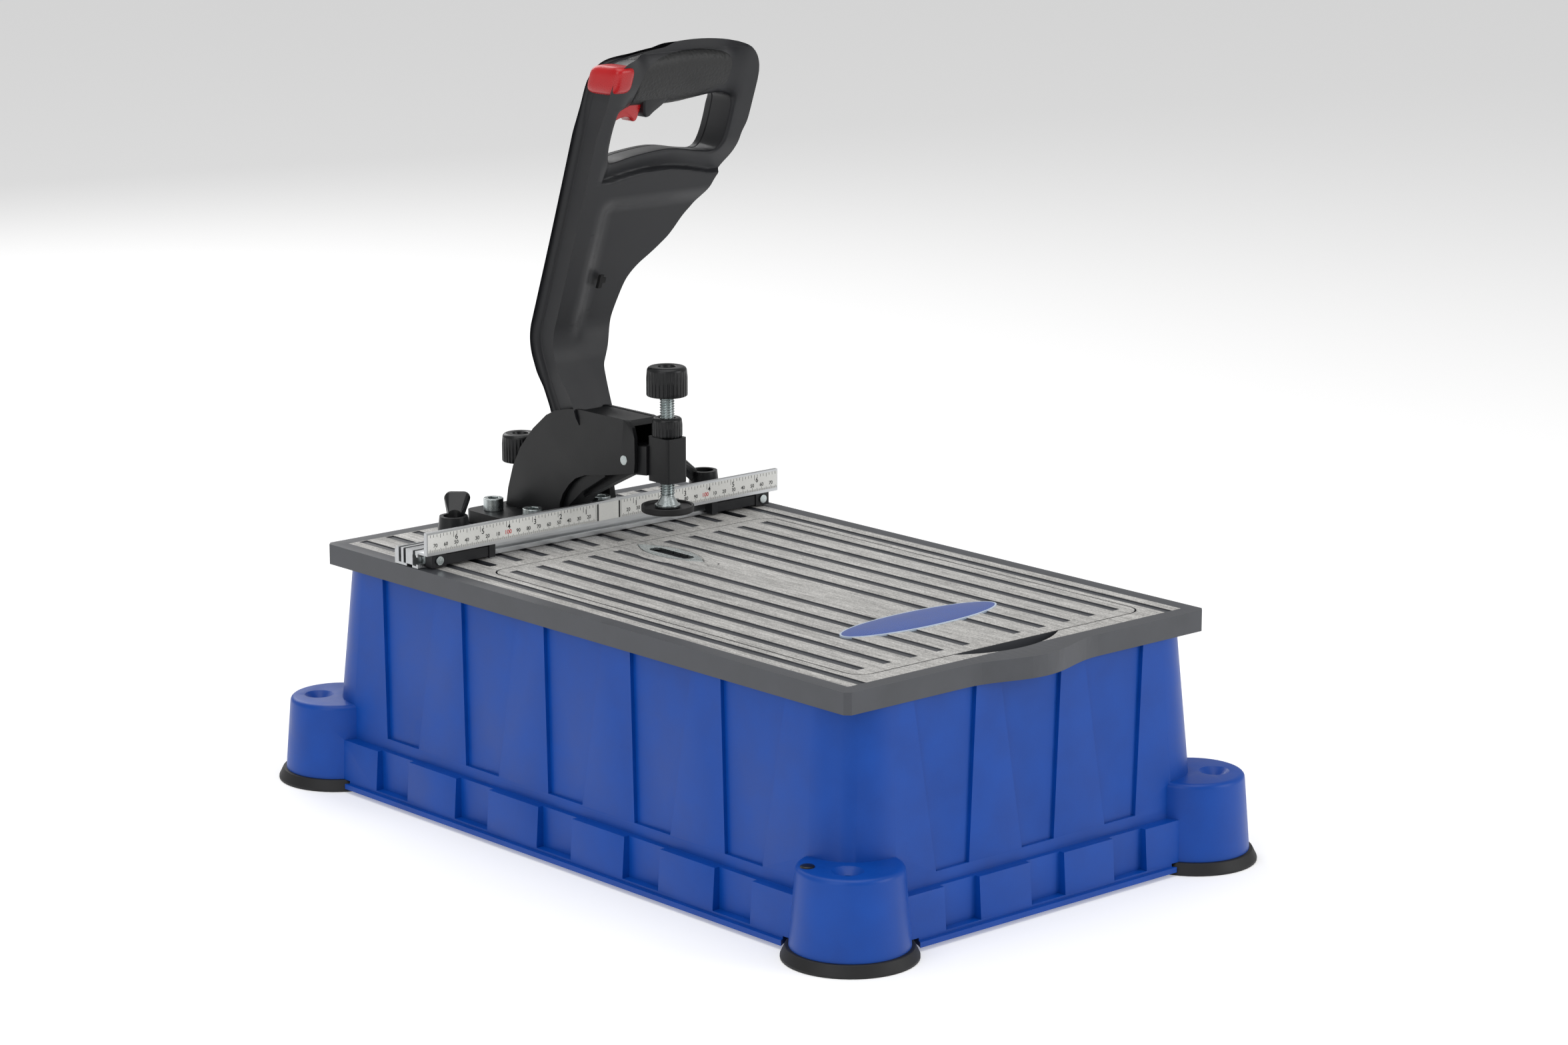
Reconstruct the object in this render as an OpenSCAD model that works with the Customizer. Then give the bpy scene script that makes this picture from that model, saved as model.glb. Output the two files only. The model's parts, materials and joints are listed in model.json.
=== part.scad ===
// Bench pocket-hole drilling machine: moulded base, ribbed table with access lid,
// ruler fence, pull lever with D-handle, clamp, and a drill carriage under the table.
// Frame: millimetres, +Z up, the operator stands at -Y, +X is to the right.
// The origin is on the floor, under the middle of the four feet.

/* [Table] */
// Width of the table
table_w = 356; // [320:1:430]
// Length of the table, front to back
table_l = 602; // [560:1:720]
// Height of the table's top above the floor
table_top = 189; // [180:1:230]
// Thickness of the table frame
table_t = 16; // [14:1:20]
// Distance between the strips of the table
strip_pitch = 25.4; // [20:0.1:30]
// Width of a groove between strips
groove_w = 8; // [4:0.5:12]
// Depth of a groove
groove_d = 1; // [0.5:0.1:2]
// Plain rim around the strips
rim = 13; // [8:1:20]
// How far the finger bump stands out at the front
bump_out = 14; // [6:1:20]
// Width of the finger bump
bump_w = 130; // [80:1:180]

/* [Access lid] */
// Width of the lid
lid_w = 282; // [260:1:290]
// Front edge of the lid, measured from the table's front edge
lid_front_in = 28.5; // [24:0.5:40]
// Back edge of the lid, measured from the middle
lid_back = 140.5; // [130:0.5:142]
// Thickness of the lid
lid_t = 8; // [6:0.5:9]
// Radius of the lid's corners
lid_r = 14; // [8:1:25]
// Gap around the lid
lid_gap = 1.5; // [1.2:0.1:2]
// Radius of the lid's pivot pins
lid_pin_r = 2; // [1.5:0.1:2.5]

/* [Base] */
// Wall of the tub
tub_wall = 6; // [5:0.5:8]
// Depth of the recessed panels in the tub wall
panel_d = 3; // [1:0.5:4]
// Gap of the tub under the table's side edge
tub_in = 4; // [2:1:10]
// Outward slope of the tub wall, in mm per mm of height
tub_slope = 0.07; // [0.02:0.01:0.1]
// Corner radius of the tub
tub_r = 40; // [25:1:50]
// Height of the plinth around the tub
plinth_h = 40; // [30:1:50]
// How far the plinth stands out of the tub
plinth_out = 9; // [5:1:12]
// Radius of a corner ear at its foot
ear_r = 42.6; // [38:0.1:46]
// Height of a corner ear's top
ear_top = 66.6; // [55:0.1:75]
// How far the mounting holes stand outside the table's side edges
mount_out_x = 5.5; // [2:0.5:12]
// How far the mounting holes stand outside the table's end edges
mount_out_y = 7; // [0:0.5:14]
// Radius of a mounting hole
mount_r = 5.5; // [4:0.1:7]
// Radius of a rubber foot
foot_r = 48.5; // [45:0.5:52]
// Height of a rubber foot under the ear
foot_h = 9; // [6:0.5:14]

/* [Fence] */
// Length of the fence
fence_l = 355.6; // [300:0.1:400]
// Front face of the fence ruler
fence_y = 170.4; // [165:0.1:175]
// Depth of the fence base
fence_base = 41; // [36:0.5:42]
// Height of the fence base
fence_base_h = 13.5; // [12:0.5:16]
// Height of the ruler plate
ruler_h = 16; // [12:0.5:24]
// Distance of each fence bolt from the middle
bolt_x = 127; // [100:1:145]
// Radius of a fence bolt
bolt_r = 4; // [3:0.5:4.5]
// Forward travel of the fence
fence_travel = 46; // [20:1:48]

/* [Lever and clamp] */
// Place of the lever's pivot, towards the back
pin_y = 132; // [128:1:136]
// Height of the lever's pivot above the table's top
pin_up = 70; // [60:1:90]
// Radius of the pivot pin
pin_r = 4; // [3:0.5:6]
// Width of the lever head over its two cheeks
head_w = 31; // [29:0.5:40]
// Thickness of one cheek of the lever head
cheek_t = 3.2; // [2.5:0.1:4]
// Travel of the lever, in degrees
lever_deg = 30; // [20:1:32]
// Depth of the handle, front to back
handle_d = 34; // [28:1:38]
// Radius of the clamp screw
clamp_r = 5.8; // [4:0.1:6.5]
// Radius of the clamp pad
pad_r = 20.5; // [15:0.5:25]
// Radius of the clamp knob
knob_r = 16; // [12:0.5:20]
// Distance of the clamp screw in front of the pivot
clamp_out = 34; // [32:1:38]
// Radius of the pedestal's cap screws
cap_r = 5; // [4:0.5:6]

/* [Drill unit] */
// Angle of the drill to the table, in degrees
drill_deg = 15; // [14:0.5:16]
// Place where the drill's axis meets the table's top
bit_y = 95; // [88:1:97]
// Radius of the drill bit
bit_r = 4.75; // [3:0.05:5]
// Free length of the drill bit
bit_l = 135; // [125:1:140]
// Stroke of the drill carriage
stroke = 64.3; // [50:0.1:66]
// Radius of the motor housing
motor_r = 36; // [30:1:37]
// Length of the motor housing
motor_l = 108; // [90:1:112]
// Radius of a guide rod
rod_r = 6; // [4:0.5:8]
// Distance of each guide rod from the middle
rod_x = 48; // [44:1:60]
// Running clearance of shafts in their bores
run = 0.05; // [0.02:0.01:0.08]

/* [Hidden] */

tub_l5 = (table_l - 104) / 5;              // pitch of the panels along the sides
tub_w3 = (table_w - 104) / 3;              // pitch of the panels along the ends
e = 0.1;                                   // overrun of a cut past a face
table_bot = table_top - table_t;
tub_bot = 3;
tub_hw = table_w / 2 - tub_in;             // tub half width at its top
tub_hl = table_l / 2 - 2;                  // tub half length at its top
tub_drop = table_bot - tub_bot;
inlet_x = tub_w3 / 2;                      // power inlet in the back wall
inlet_z = 90;
mount_dx = table_w + 2 * mount_out_x;
mount_dy = table_l + 2 * mount_out_y;
ear_x = mount_dx / 2 - 11.8;
ear_y = mount_dy / 2 - 10.2;
lid_front = -table_l / 2 + lid_front_in;
lid_l = lid_back - lid_front;
lid_mid = (lid_back + lid_front) / 2;
lid_bot = table_top - lid_t;
lid_pin_y = lid_back - 5.5;
lid_pin_z = table_top - lid_t / 2;
// Depth cut in the ledge behind the hinge, where the lid's back edge dips as it opens
lid_relief = 2.5;
insert_sink = 1.5;                         // insert's seat below the lid's face
insert_up = 0.7;                           // insert's face above the lid's face
ledge = 8;                                 // ledge that the lid rests on
flange_t = 10;                             // pedestal flange
flange_top = table_top + flange_t;
flange_y0 = fence_y + fence_base + 2;
flange_y1 = 292;
flange_hw = 50;
cap_x = 34.5;
cap_y = [flange_y0 + 9, flange_y1 - 19];
stop_y = flange_y1 - 11;
stop_r = 4;
pin_z = table_top + pin_up;
gap_hw = head_w / 2 - cheek_t;             // half width inside the lever head
link_in = 120;                             // link pin behind the pivot
link_down = 32;                            // link pin below the pivot
link_y = pin_y + link_in;
link_z = pin_z - link_down;
link_arm = norm([link_in, link_down]);
link_low = atan(link_down / link_in);
link_rise = link_arm * (sin(lever_deg - link_low) + sin(link_low));
crank_half = 21.5;                         // half of the crank's swing, in degrees
crank_arm = link_rise / (2 * sin(crank_half));
crank_out = stroke / (2 * sin(crank_half));
crank_y = link_y - crank_arm * cos(crank_half);
crank_z = table_bot - 55;
crank_end_y = link_y;
crank_end_z = crank_z - crank_arm * sin(crank_half);
roll_y = crank_y + crank_out * sin(drill_deg - crank_half);
roll_z = crank_z - crank_out * cos(drill_deg - crank_half);
slip = crank_arm * (1 - cos(crank_half)) - link_arm * (1 - cos(link_low)) + 0.2;
plate_hx = 4;                              // half thickness of the link and the push arm
roller_r = 7;
win_y0 = link_y - 18;                      // window for the link in flange and table
win_y1 = link_y + 14;
win_hw = 11;

// Drill unit, along the tilted axis from the point where it meets the table
tip_s = -10;
nose_s = tip_s - bit_l;
chuck_s = nose_s - 24;
spindle_s = chuck_s - 34;
gear_s = spindle_s - 18;
motor_s = gear_s - 25;
motor_end_s = motor_s - motor_l;
rod_n = -38;
rod_s0 = motor_s - 54;
rod_s1 = -58;
car_s0 = motor_s + 2;
car_s1 = nose_s + 5;

// Fence, stop screw, handle and clamp
fence_y2 = fence_y + fence_base;
lip_y = fence_y + 12;
fence_z = table_top + 0.4;
base_z = fence_z + fence_base_h;
stop_x = fence_l / 2 - 13.8;                // middle of each end stop
stop_knob_z = flange_top + 34;
handle_screw_at = [[0, 78], [2, 150], [60, 196], [100, 222], [96, 291]];
trig_x = -1;
trig_z = 276;
clamp_y = pin_y - clamp_out;
block_z0 = pin_z - 13;
block_z1 = pin_z + 22;
screw_z0 = pin_z - 24;
screw_z1 = pin_z + 66;
cone_z0 = pin_z - 33;
// The roller's place in the drill's frame
roll_s = (roll_y - bit_y) * cos(drill_deg) + (roll_z - table_top) * sin(drill_deg);
roll_n = -(roll_y - bit_y) * sin(drill_deg) + (roll_z - table_top) * cos(drill_deg);
roll_dip = crank_out * (1 - cos(crank_half));

// Points along an arc, from angle a0 to a1
function arc(c, r, a0, a1, n = 12) =
    [for (i = [0:n]) c + r * [cos(a0 + (a1 - a0) * i / n), sin(a0 + (a1 - a0) * i / n)]];
// A closed smooth curve through points (Catmull-Rom), n steps per span
function cr(p0, p1, p2, p3, t) = 0.5 * (2 * p1 + (p2 - p0) * t
    + (2 * p0 - 5 * p1 + 4 * p2 - p3) * t * t + (3 * p1 - p0 - 3 * p2 + p3) * t * t * t);
function smooth(p, n = 4) = let (m = len(p)) [for (i = [0:m - 1]) for (j = [0:n - 1])
    cr(p[(i + m - 1) % m], p[i], p[(i + 1) % m], p[(i + 2) % m], j / n)];
// The handle's seam line: how far back the parting plane lies at height z above the pivot
function seam_y(z) = pin_y + (z < 66 ? 72 + 0.4045 * z
    : z < 96 ? 98.7 + 0.4045 * (z - 66) - 0.0129 * (z - 66) * (z - 66)
    : 99.2 - 0.3695 * (z - 96));
seam_steps = [23, 45, 66, 72, 78, 84, 90, 96, 140, 190, 240, 280, 316];

// Plate with rounded corners, w by l, from z = 0 to h
module rplate(w, l, r, h) {
    linear_extrude(h) union() {
        square([w - 2 * r, l], center = true);
        square([w, l - 2 * r], center = true);
        for (x = [-1, 1], y = [-1, 1]) translate([x * (w / 2 - r), y * (l / 2 - r)]) circle(r, $fn = 48);
    }
}
// Outline in the plane of Y and Z, drawn out along X from x0 to x1
module side(x0, x1) { translate([x0, 0, 0]) rotate([90, 0, 90]) linear_extrude(x1 - x0) children(); }
// Outline in the plane of X and Z, drawn out along Y from y0 to y1
module front(y0, y1) { translate([0, y1, 0]) rotate([90, 0, 0]) linear_extrude(y1 - y0) children(); }
// Round bar along X at (y, z)
module xbar(y, z, r, x0, x1) { translate([x0, y, z]) rotate([0, 90, 0])
    cylinder(r = r, h = x1 - x0, $fn = 48); }
// Flat strap in the plane of Y and Z between two points, width w, with no round ends
module strap(a, b, w) {
    d = (b - a) / norm(b - a);
    n = [-d[1], d[0]] * w / 2;
    polygon([a + n, b + n, b - n, a - n]);
}
module corners(x, y) { for (i = [-1, 1], j = [-1, 1]) translate([i * x, j * y, 0]) children(); }
// Moves into the drill's frame: Y along the drill, Z away from the table's underside
module tilt() { translate([0, bit_y, table_top]) rotate([drill_deg, 0, 0]) children(); }
// Round bar along the drill's axis, from s0 to s1
module sbar(s0, s1, r) { translate([0, s1, 0]) rotate([90, 0, 0]) cylinder(r = r, h = s1 - s0, $fn = 64); }

// Base -------------------------------------------------------------------------------------
module tub_shape(grow, z0, z1, out = 0) {
    hull() for (z = [z0, z1]) translate([0, 0, z])
        rplate(2 * (tub_hw + grow + out + tub_slope * (table_bot - z)),
               2 * (tub_hl + grow + out + tub_slope * (table_bot - z)), tub_r + grow + out, 0.01);
}
module panel(top_w, low_w, low) {
    polygon([[-top_w / 2, 6], [top_w / 2, 6], [low_w / 2, -low], [-low_w / 2, -low]]);
}
module side_panels() {
    drop = table_bot - plinth_h - 8;
    for (s = [-1, 1], i = [-2:2]) scale([s, 1, 1]) {
        translate([tub_hw - panel_d, i * tub_l5, table_bot]) rotate([0, -atan(tub_slope), 0])
            rotate([90, 0, 90]) linear_extrude(20) panel(70, 40, drop);
        translate([tub_hw + tub_slope * tub_drop + 2, i * tub_l5 - 20, tub_bot + 6]) cube([20, 40, plinth_h]);
    }
}
module end_panels() {
    drop = table_bot - plinth_h - 8;
    for (s = [-1, 1], i = [-1:1]) scale([1, s, 1]) {
        translate([i * tub_w3, tub_hl - panel_d, table_bot]) rotate([atan(tub_slope), 0, 0])
            rotate([90, 0, 180]) linear_extrude(20) panel(62, 32, drop);
        translate([i * tub_w3 - 17, tub_hl + tub_slope * tub_drop + 2, tub_bot + 6]) cube([34, 20, plinth_h]);
    }
}
module ear() {
    rotate_extrude($fn = 72) polygon(concat([[0, foot_h], [ear_r, foot_h], [ear_r - 4.4, ear_top - 4]],
        arc([ear_r - 8.4, ear_top - 4], 4, 0, 90, 6), [[0, ear_top]]));
}
module base_tub() {
    color("royalblue") difference() {
        union() {
            difference() {
                union() {
                    tub_shape(0, tub_bot, table_bot - 0.02);
                    intersection() {
                        tub_shape(0, tub_bot, plinth_h, plinth_out);
                        translate([0, 0, tub_bot]) rplate(3 * table_w, 3 * table_l, 5, plinth_h - tub_bot);
                    }
                    translate([0, 0, tub_bot]) rplate(2 * (tub_hw + 24), 2 * (tub_hl + 24), tub_r + 24, 4);
                }
                side_panels();
                end_panels();
            }
            corners(ear_x, ear_y) ear();
        }
        tub_shape(-tub_wall, tub_bot - 1, table_bot + 1);
        corners(ear_x, ear_y) translate([0, 0, -e]) cylinder(r = foot_r + 1, h = foot_h + e, $fn = 72);
        corners(ear_x, ear_y) translate([0, 0, foot_h - e])
            cylinder(r = ear_r - 8.5, h = ear_top - 19, $fn = 72);
        corners(mount_dx / 2, mount_dy / 2) cylinder(r = mount_r, h = ear_top + 5, $fn = 48);
        corners(mount_dx / 2, mount_dy / 2) translate([0, 0, ear_top - 5])
            cylinder(r1 = mount_r, r2 = mount_r + 6, h = 5 + e, $fn = 48);
        translate([inlet_x, 0, inlet_z]) rotate([-90, 0, 0]) cylinder(r = 14, h = table_l, $fn = 48);
    }
    color("royalblue") for (x = [-1, 1], y = [-0.8, 0, 0.8])
        translate([x * (tub_hw - tub_wall - 6), y * tub_hl * 0.95, table_bot - 22]) difference() {
            translate([x, 0, 0]) cylinder(r = 8, h = 21.95, $fn = 32);
            translate([0, 0, -e]) cylinder(r = 2.7, h = 23, $fn = 32);
        }
}
module rubber_feet() {
    color("black") corners(ear_x, ear_y) difference() {
        rotate_extrude($fn = 72) polygon([[0, 0], [foot_r, 0], [foot_r, 2], [foot_r - 3.5, foot_h],
            [ear_r - 9, foot_h], [ear_r - 9, foot_h + 7], [0, foot_h + 7]]);
        for (i = [-1, 1], j = [-1, 1]) translate([i * (mount_dx / 2 - ear_x), j * (mount_dy / 2 - ear_y), -e])
            cylinder(r = mount_r + 2, h = foot_h + 8, $fn = 48);
    }
}
// Floor of the tub, clipped in between the feet
module bottom_plate() {
    hw = tub_hw - tub_wall + tub_slope * (tub_drop - 6) - 0.5;
    hl = tub_hl - tub_wall + tub_slope * (tub_drop - 6) - 0.5;
    color("dimgray") difference() {
        translate([0, 0, tub_bot]) rplate(2 * hw, 2 * hl, tub_r - tub_wall, 3);
        corners(ear_x, ear_y) cylinder(r = foot_r + 1, h = foot_h, $fn = 72);
    }
}
module power_inlet() {
    y1 = tub_hl + tub_slope * (table_bot - inlet_z) + 1;
    color("black") translate([inlet_x, 0, inlet_z]) difference() {
        union() {
            translate([0, y1 - tub_wall - 12, 0]) rotate([-90, 0, 0])
                cylinder(r = 13.8, h = tub_wall + 12, $fn = 48);
            translate([0, y1 + 1, 0]) rotate([-90, 0, 0]) cylinder(r = 18, h = 3, $fn = 48);
            translate([0, y1 - 1, 0]) rotate([-90, 0, 0]) cylinder(r = 13.8, h = 3, $fn = 48);
        }
        translate([-9, y1 - 12, -6]) cube([18, 30, 12]);
    }
}

// Table ------------------------------------------------------------------------------------
function bump_y(x) = abs(x) > bump_w / 2 ? 0 : bump_out * pow(cos(180 * x / bump_w), 2);
module table_outline() {
    hw = table_w / 2;
    hl = table_l / 2;
    polygon(concat([[-hw, hl - 4], [-hw, -hl + 4], [-hw + 4, -hl]],
        [for (i = [-10:10]) let (x = i * bump_w / 20) [x, -hl - bump_y(x)]],
        [[hw - 4, -hl], [hw, -hl + 4], [hw, hl - 4], [hw - 4, hl], [-hw + 4, hl]]));
}
module groove(x, y0, y1) {
    translate([x - groove_w / 2, y0, table_top - groove_d]) cube([groove_w, y1 - y0, groove_d + 1]);
}
module table_frame() {
    lid_hw = lid_w / 2 + lid_gap;
    color("gainsboro") difference() {
        translate([0, 0, table_bot]) linear_extrude(table_t) table_outline();
        translate([0, lid_mid, lid_bot]) rplate(2 * lid_hw, lid_l + 2 * lid_gap, lid_r + lid_gap, lid_t + 1);
        translate([0, lid_mid, table_bot - e]) rplate(lid_w - 2 * ledge, lid_l - 2 * ledge, lid_r, table_t);
        intersection() {
            translate([0, lid_front + 72, lid_bot]) cylinder(r = 90, h = lid_t + 1, $fn = 96);
            translate([-80, lid_front - 30, lid_bot]) cube([160, 40, lid_t + 1]);
        }
        for (i = [-6:6]) groove(i * strip_pitch, lid_back + rim, table_l / 2 - rim);
        for (s = [-1, 1]) groove(s * 6 * strip_pitch, -table_l / 2 + rim, lid_back + rim + 1);
        for (s = [-1, 1]) translate([s * bolt_x, fence_y + 33 - fence_travel / 2, table_bot - e])
            rplate(2 * bolt_r + 1, fence_travel + 2 * bolt_r + 1, bolt_r + 0.45, table_t + 1);
        for (x = [-1, 1], y = cap_y) translate([x * cap_x, y, table_bot - e])
            cylinder(r = cap_r + 0.25, h = table_t + 1, $fn = 48);
        translate([-win_hw, win_y0, table_bot - e]) cube([2 * win_hw, win_y1 - win_y0, table_t + 1]);
        for (x = [-1, 1], y = [-0.8, 0, 0.8]) translate([x * (tub_hw - tub_wall - 6), y * tub_hl * 0.95,
            table_bot - e])
            cylinder(r = 2.5, h = 10, $fn = 32);
        xbar(lid_pin_y, lid_pin_z, lid_pin_r, -lid_hw - 14, lid_hw + 14);
        intersection() {
            translate([0, lid_mid, lid_bot - lid_relief])
                rplate(2 * lid_hw, lid_l + 2 * lid_gap, lid_r + lid_gap, lid_relief + 1);
            translate([-lid_hw, lid_pin_y - 1.5, lid_bot - 2 * lid_relief])
                cube([2 * lid_hw, 20, lid_relief * 3]);
        }
    }
}
module table_screws() {
    color("silver") for (x = [-1, 1], y = [-0.8, 0, 0.8])
        translate([x * (tub_hw - tub_wall - 6), y * tub_hl * 0.95, table_bot - 22]) {
            translate([0, 0, -3]) cylinder(r = 4.6, h = 3, $fn = 32);
            cylinder(r = 2.5, h = 31, $fn = 32);
        }
}
module access_lid() {
    color("gainsboro") difference() {
        translate([0, lid_mid, lid_bot]) rplate(lid_w, lid_l, lid_r, lid_t);
        for (i = [-5:5]) if (i != 0) groove(i * strip_pitch, lid_front + rim, lid_back - 10);
        translate([0, 0, table_top - insert_sink]) insert_shape(0.2, 3);
        translate([-bit_r - 1.5, bit_y - 52, lid_bot - e]) cube([2 * bit_r + 3, 76, lid_t + 1]);
        xbar(lid_pin_y, lid_pin_z, lid_pin_r + run, -lid_w / 2 - e, -lid_w / 2 + 14);
        xbar(lid_pin_y, lid_pin_z, lid_pin_r + run, lid_w / 2 - 14, lid_w / 2 + e);
    }
}
module lid_hinge_pins() {
    color("silver") for (s = [-1, 1])
        xbar(lid_pin_y, lid_pin_z, lid_pin_r, s > 0 ? lid_w / 2 - 13 : -lid_w / 2 - 14,
            s > 0 ? lid_w / 2 + 14 : -lid_w / 2 + 13);
}
// Pointed oval, made by two crossing circles
module insert_shape(grow, h) {
    r = 65;
    translate([0, bit_y, 0]) intersection() {
        translate([r - 13 - grow, 0, 0]) cylinder(r = r, h = h, $fn = 96);
        translate([13 + grow - r, 0, 0]) cylinder(r = r, h = h, $fn = 96);
    }
}
module drill_insert() {
    y0 = bit_y - (insert_sink + bit_r / cos(drill_deg)) / tan(drill_deg) - 1;
    y1 = bit_y + (insert_up + bit_r / cos(drill_deg)) / tan(drill_deg) + 1;
    color("silver") difference() {
        translate([0, 0, table_top - insert_sink]) insert_shape(0, insert_sink + insert_up);
        translate([0, (y0 + y1) / 2, table_top - 2]) rplate(2 * bit_r + 1.5, y1 - y0, bit_r + 0.7, 4);
    }
}
module badge_plate() {
    color("blue") translate([0, -184, table_top]) linear_extrude(0.8)
        polygon([for (i = [0:47]) [76 * cos(i * 7.5), 21 * sin(i * 7.5)]]);
}

// Fence ------------------------------------------------------------------------------------
module fence_extrusion() {
    color("silver") difference() {
        side(-fence_l / 2, fence_l / 2) difference() {
            polygon([[lip_y, fence_z], [fence_y2, fence_z], [fence_y2, base_z - 3], [fence_y2 - 3, base_z],
                [fence_y + 4, base_z], [fence_y + 3.4, base_z + ruler_h], [fence_y, base_z + ruler_h],
                [fence_y, base_z - 2], [lip_y, base_z - 2]]);
            translate([lip_y - e, fence_z + 3.2]) square([2 + 2 * e, 5.6]);
            translate([lip_y + 2, fence_z + 1.8]) square([4.5, 8.4]);
            for (y = [fence_y2 - 8, fence_y2 - 14, fence_y2 - 26]) translate([y, fence_z + 2])
                square([3, base_z - fence_z + 2]);
            translate([fence_y2 - 22, fence_z - 1]) square([7, 3]);
        }
        for (s = [-1, 1]) translate([s * bolt_x, fence_y + 33, 0])
            cylinder(r = bolt_r + 0.25, h = 300, $fn = 48);
    }
}
module ruler_tape() {
    color("white") for (s = [-1, 1]) translate([s > 0 ? 13 : -fence_l / 2 + 1, fence_y - 0.4, base_z + 0.6])
        cube([fence_l / 2 - 14, 0.4, ruler_h - 2.2]);
    color("gray") translate([-12.5, fence_y - 0.4, base_z + 0.6]) cube([25, 0.4, ruler_h - 2.2]);
}
module fence_bolts() {
    color("silver") for (s = [-1, 1]) translate([s * bolt_x, fence_y + 33, 0]) {
        translate([0, 0, table_bot - 5]) cylinder(r = 9, h = 4.6, $fn = 48);
        translate([0, 0, table_bot - 1]) cylinder(r = bolt_r, h = base_z + 14 - table_bot + 1, $fn = 48);
    }
}
module wing_knob(s) {
    color("black") translate([s * bolt_x, fence_y + 33, base_z]) rotate([0, 0, s > 0 ? 60 : -45])
        difference() {
        union() {
            cylinder(r1 = 13, r2 = 11, h = 17, $fn = 48);
            hull() {
                translate([-4, 4, 6]) cube([8, 4, 10]);
                translate([-5, 24, 26]) rotate([90, 0, 0]) cylinder(r = 5, h = 4, $fn = 24);
                translate([5, 24, 26]) rotate([90, 0, 0]) cylinder(r = 5, h = 4, $fn = 24);
            }
        }
        translate([0, 0, -e]) cylinder(r = bolt_r + run, h = 18, $fn = 48);
        translate([0, 0, 12]) cylinder(r = 8, h = 8, $fn = 48);
    }
}
module wing_knob_left() { wing_knob(-1); }
module wing_knob_right() { wing_knob(1); }
module fence_stop(s) {
    z = fence_z + 6;
    color("black") difference() {
        mirror([s < 0 ? 1 : 0, 0, 0]) {
            translate([stop_x - 7, lip_y - 9, z - 5.3]) cube([14, 8.7, 10.4]);
            translate([stop_x - 50, lip_y - 8, z - 4.5]) cube([44, 6.5, 8]);
            translate([stop_x - 54, lip_y - 9, z - 5.3]) cube([6, 8.7, 10]);
        }
        translate([s * stop_x, lip_y - 20, z]) rotate([-90, 0, 0]) cylinder(r = 2.1, h = 30, $fn = 32);
    }
}
module stop_screw(s) {
    color("silver") translate([s * stop_x, 0, fence_z + 6]) {
        translate([0, lip_y - 10.5, 0]) rotate([-90, 0, 0]) cylinder(r = 3.5, h = 1.5, $fn = 32);
        translate([0, lip_y - 10, 0]) rotate([-90, 0, 0]) cylinder(r = 2, h = 13, $fn = 32);
        translate([-5, lip_y + 2.3, -3.7]) cube([10, 3.6, 7.4]);
    }
}
module stop_left() { fence_stop(-1); }
module stop_right() { fence_stop(1); }
module stop_screw_left() { stop_screw(-1); }
module stop_screw_right() { stop_screw(1); }

// Pedestal and lever -----------------------------------------------------------------------
module pedestal() {
    mid_y = (flange_y0 + flange_y1) / 2;
    color("dimgray") difference() {
        union() {
            translate([0, mid_y, table_top]) rplate(2 * flange_hw, flange_y1 - flange_y0, 9, flange_t);
            xbar(pin_y, pin_z, 12, -5, 5);
            side(-5, 5) strap([pin_y + 2, pin_z - 1], [pin_y + 66, pin_z - 32], 20);
            side(-gap_hw + 0.8, gap_hw - 0.8) polygon([[pin_y + 28, pin_z - 18], [pin_y + 34, pin_z - 5],
                [pin_y + 72, pin_z - 12], [win_y0 - 1, pin_z - 34], [win_y0 - 1, flange_top - 1],
                [flange_y0 + 0.5, flange_top - 1], [flange_y0 - 6, flange_top + 10], [pin_y + 56,
                    pin_z - 34]]);
            hull() {
                translate([flange_hw - 7, flange_y0 + 6, flange_top - 1]) cube([6, 34, 1]);
                translate([flange_hw - 9, flange_y0 + 10, flange_top + 34]) cube([6, 14, 1]);
            }
        }
        xbar(pin_y, pin_z, pin_r, -6, 6);
        translate([-win_hw, win_y0, table_top - e]) cube([2 * win_hw, win_y1 - win_y0, flange_t + 1]);
        for (x = [-1, 1], y = cap_y) translate([x * cap_x, y, table_top - e])
            cylinder(r = cap_r + 0.25, h = flange_t + 1, $fn = 48);
        for (x = [-1, 1], y = cap_y) translate([x * cap_x, y, flange_top])
            cylinder(r = cap_r + 3.5, h = 60, $fn = 48);
    }
}
module cap_screws() {
    color("silver") for (x = [-1, 1], y = cap_y) translate([x * cap_x, y, 0]) difference() {
        union() {
            translate([0, 0, flange_top]) cylinder(r = cap_r + 3, h = 2 * cap_r, $fn = 48);
            translate([0, 0, table_bot - 12]) cylinder(r = cap_r, h = flange_top - table_bot + 13, $fn = 48);
        }
        translate([0, 0, flange_top + cap_r]) cylinder(r = cap_r * 0.92, h = cap_r + 1, $fn = 6);
    }
}
module pedestal_nuts() {
    color("silver") for (x = [-1, 1], y = cap_y) translate([x * cap_x, y, table_bot - 10]) difference() {
        union() {
            cylinder(r = cap_r * 1.85, h = 8, $fn = 6);
            translate([0, 0, 8]) cylinder(r = cap_r * 2.1, h = 2, $fn = 48);
        }
        translate([0, 0, -e]) cylinder(r = cap_r, h = 11, $fn = 48);
    }
}
module pivot_pin() { color("silver") xbar(pin_y, pin_z, pin_r, -head_w / 2 - 0.5, head_w / 2 + 0.5); }
module stop_rod() {
    color("silver") translate([0, stop_y, flange_top + 0.2])
        cylinder(r = stop_r, h = stop_knob_z + 14 - flange_top, $fn = 48);
}
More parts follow.
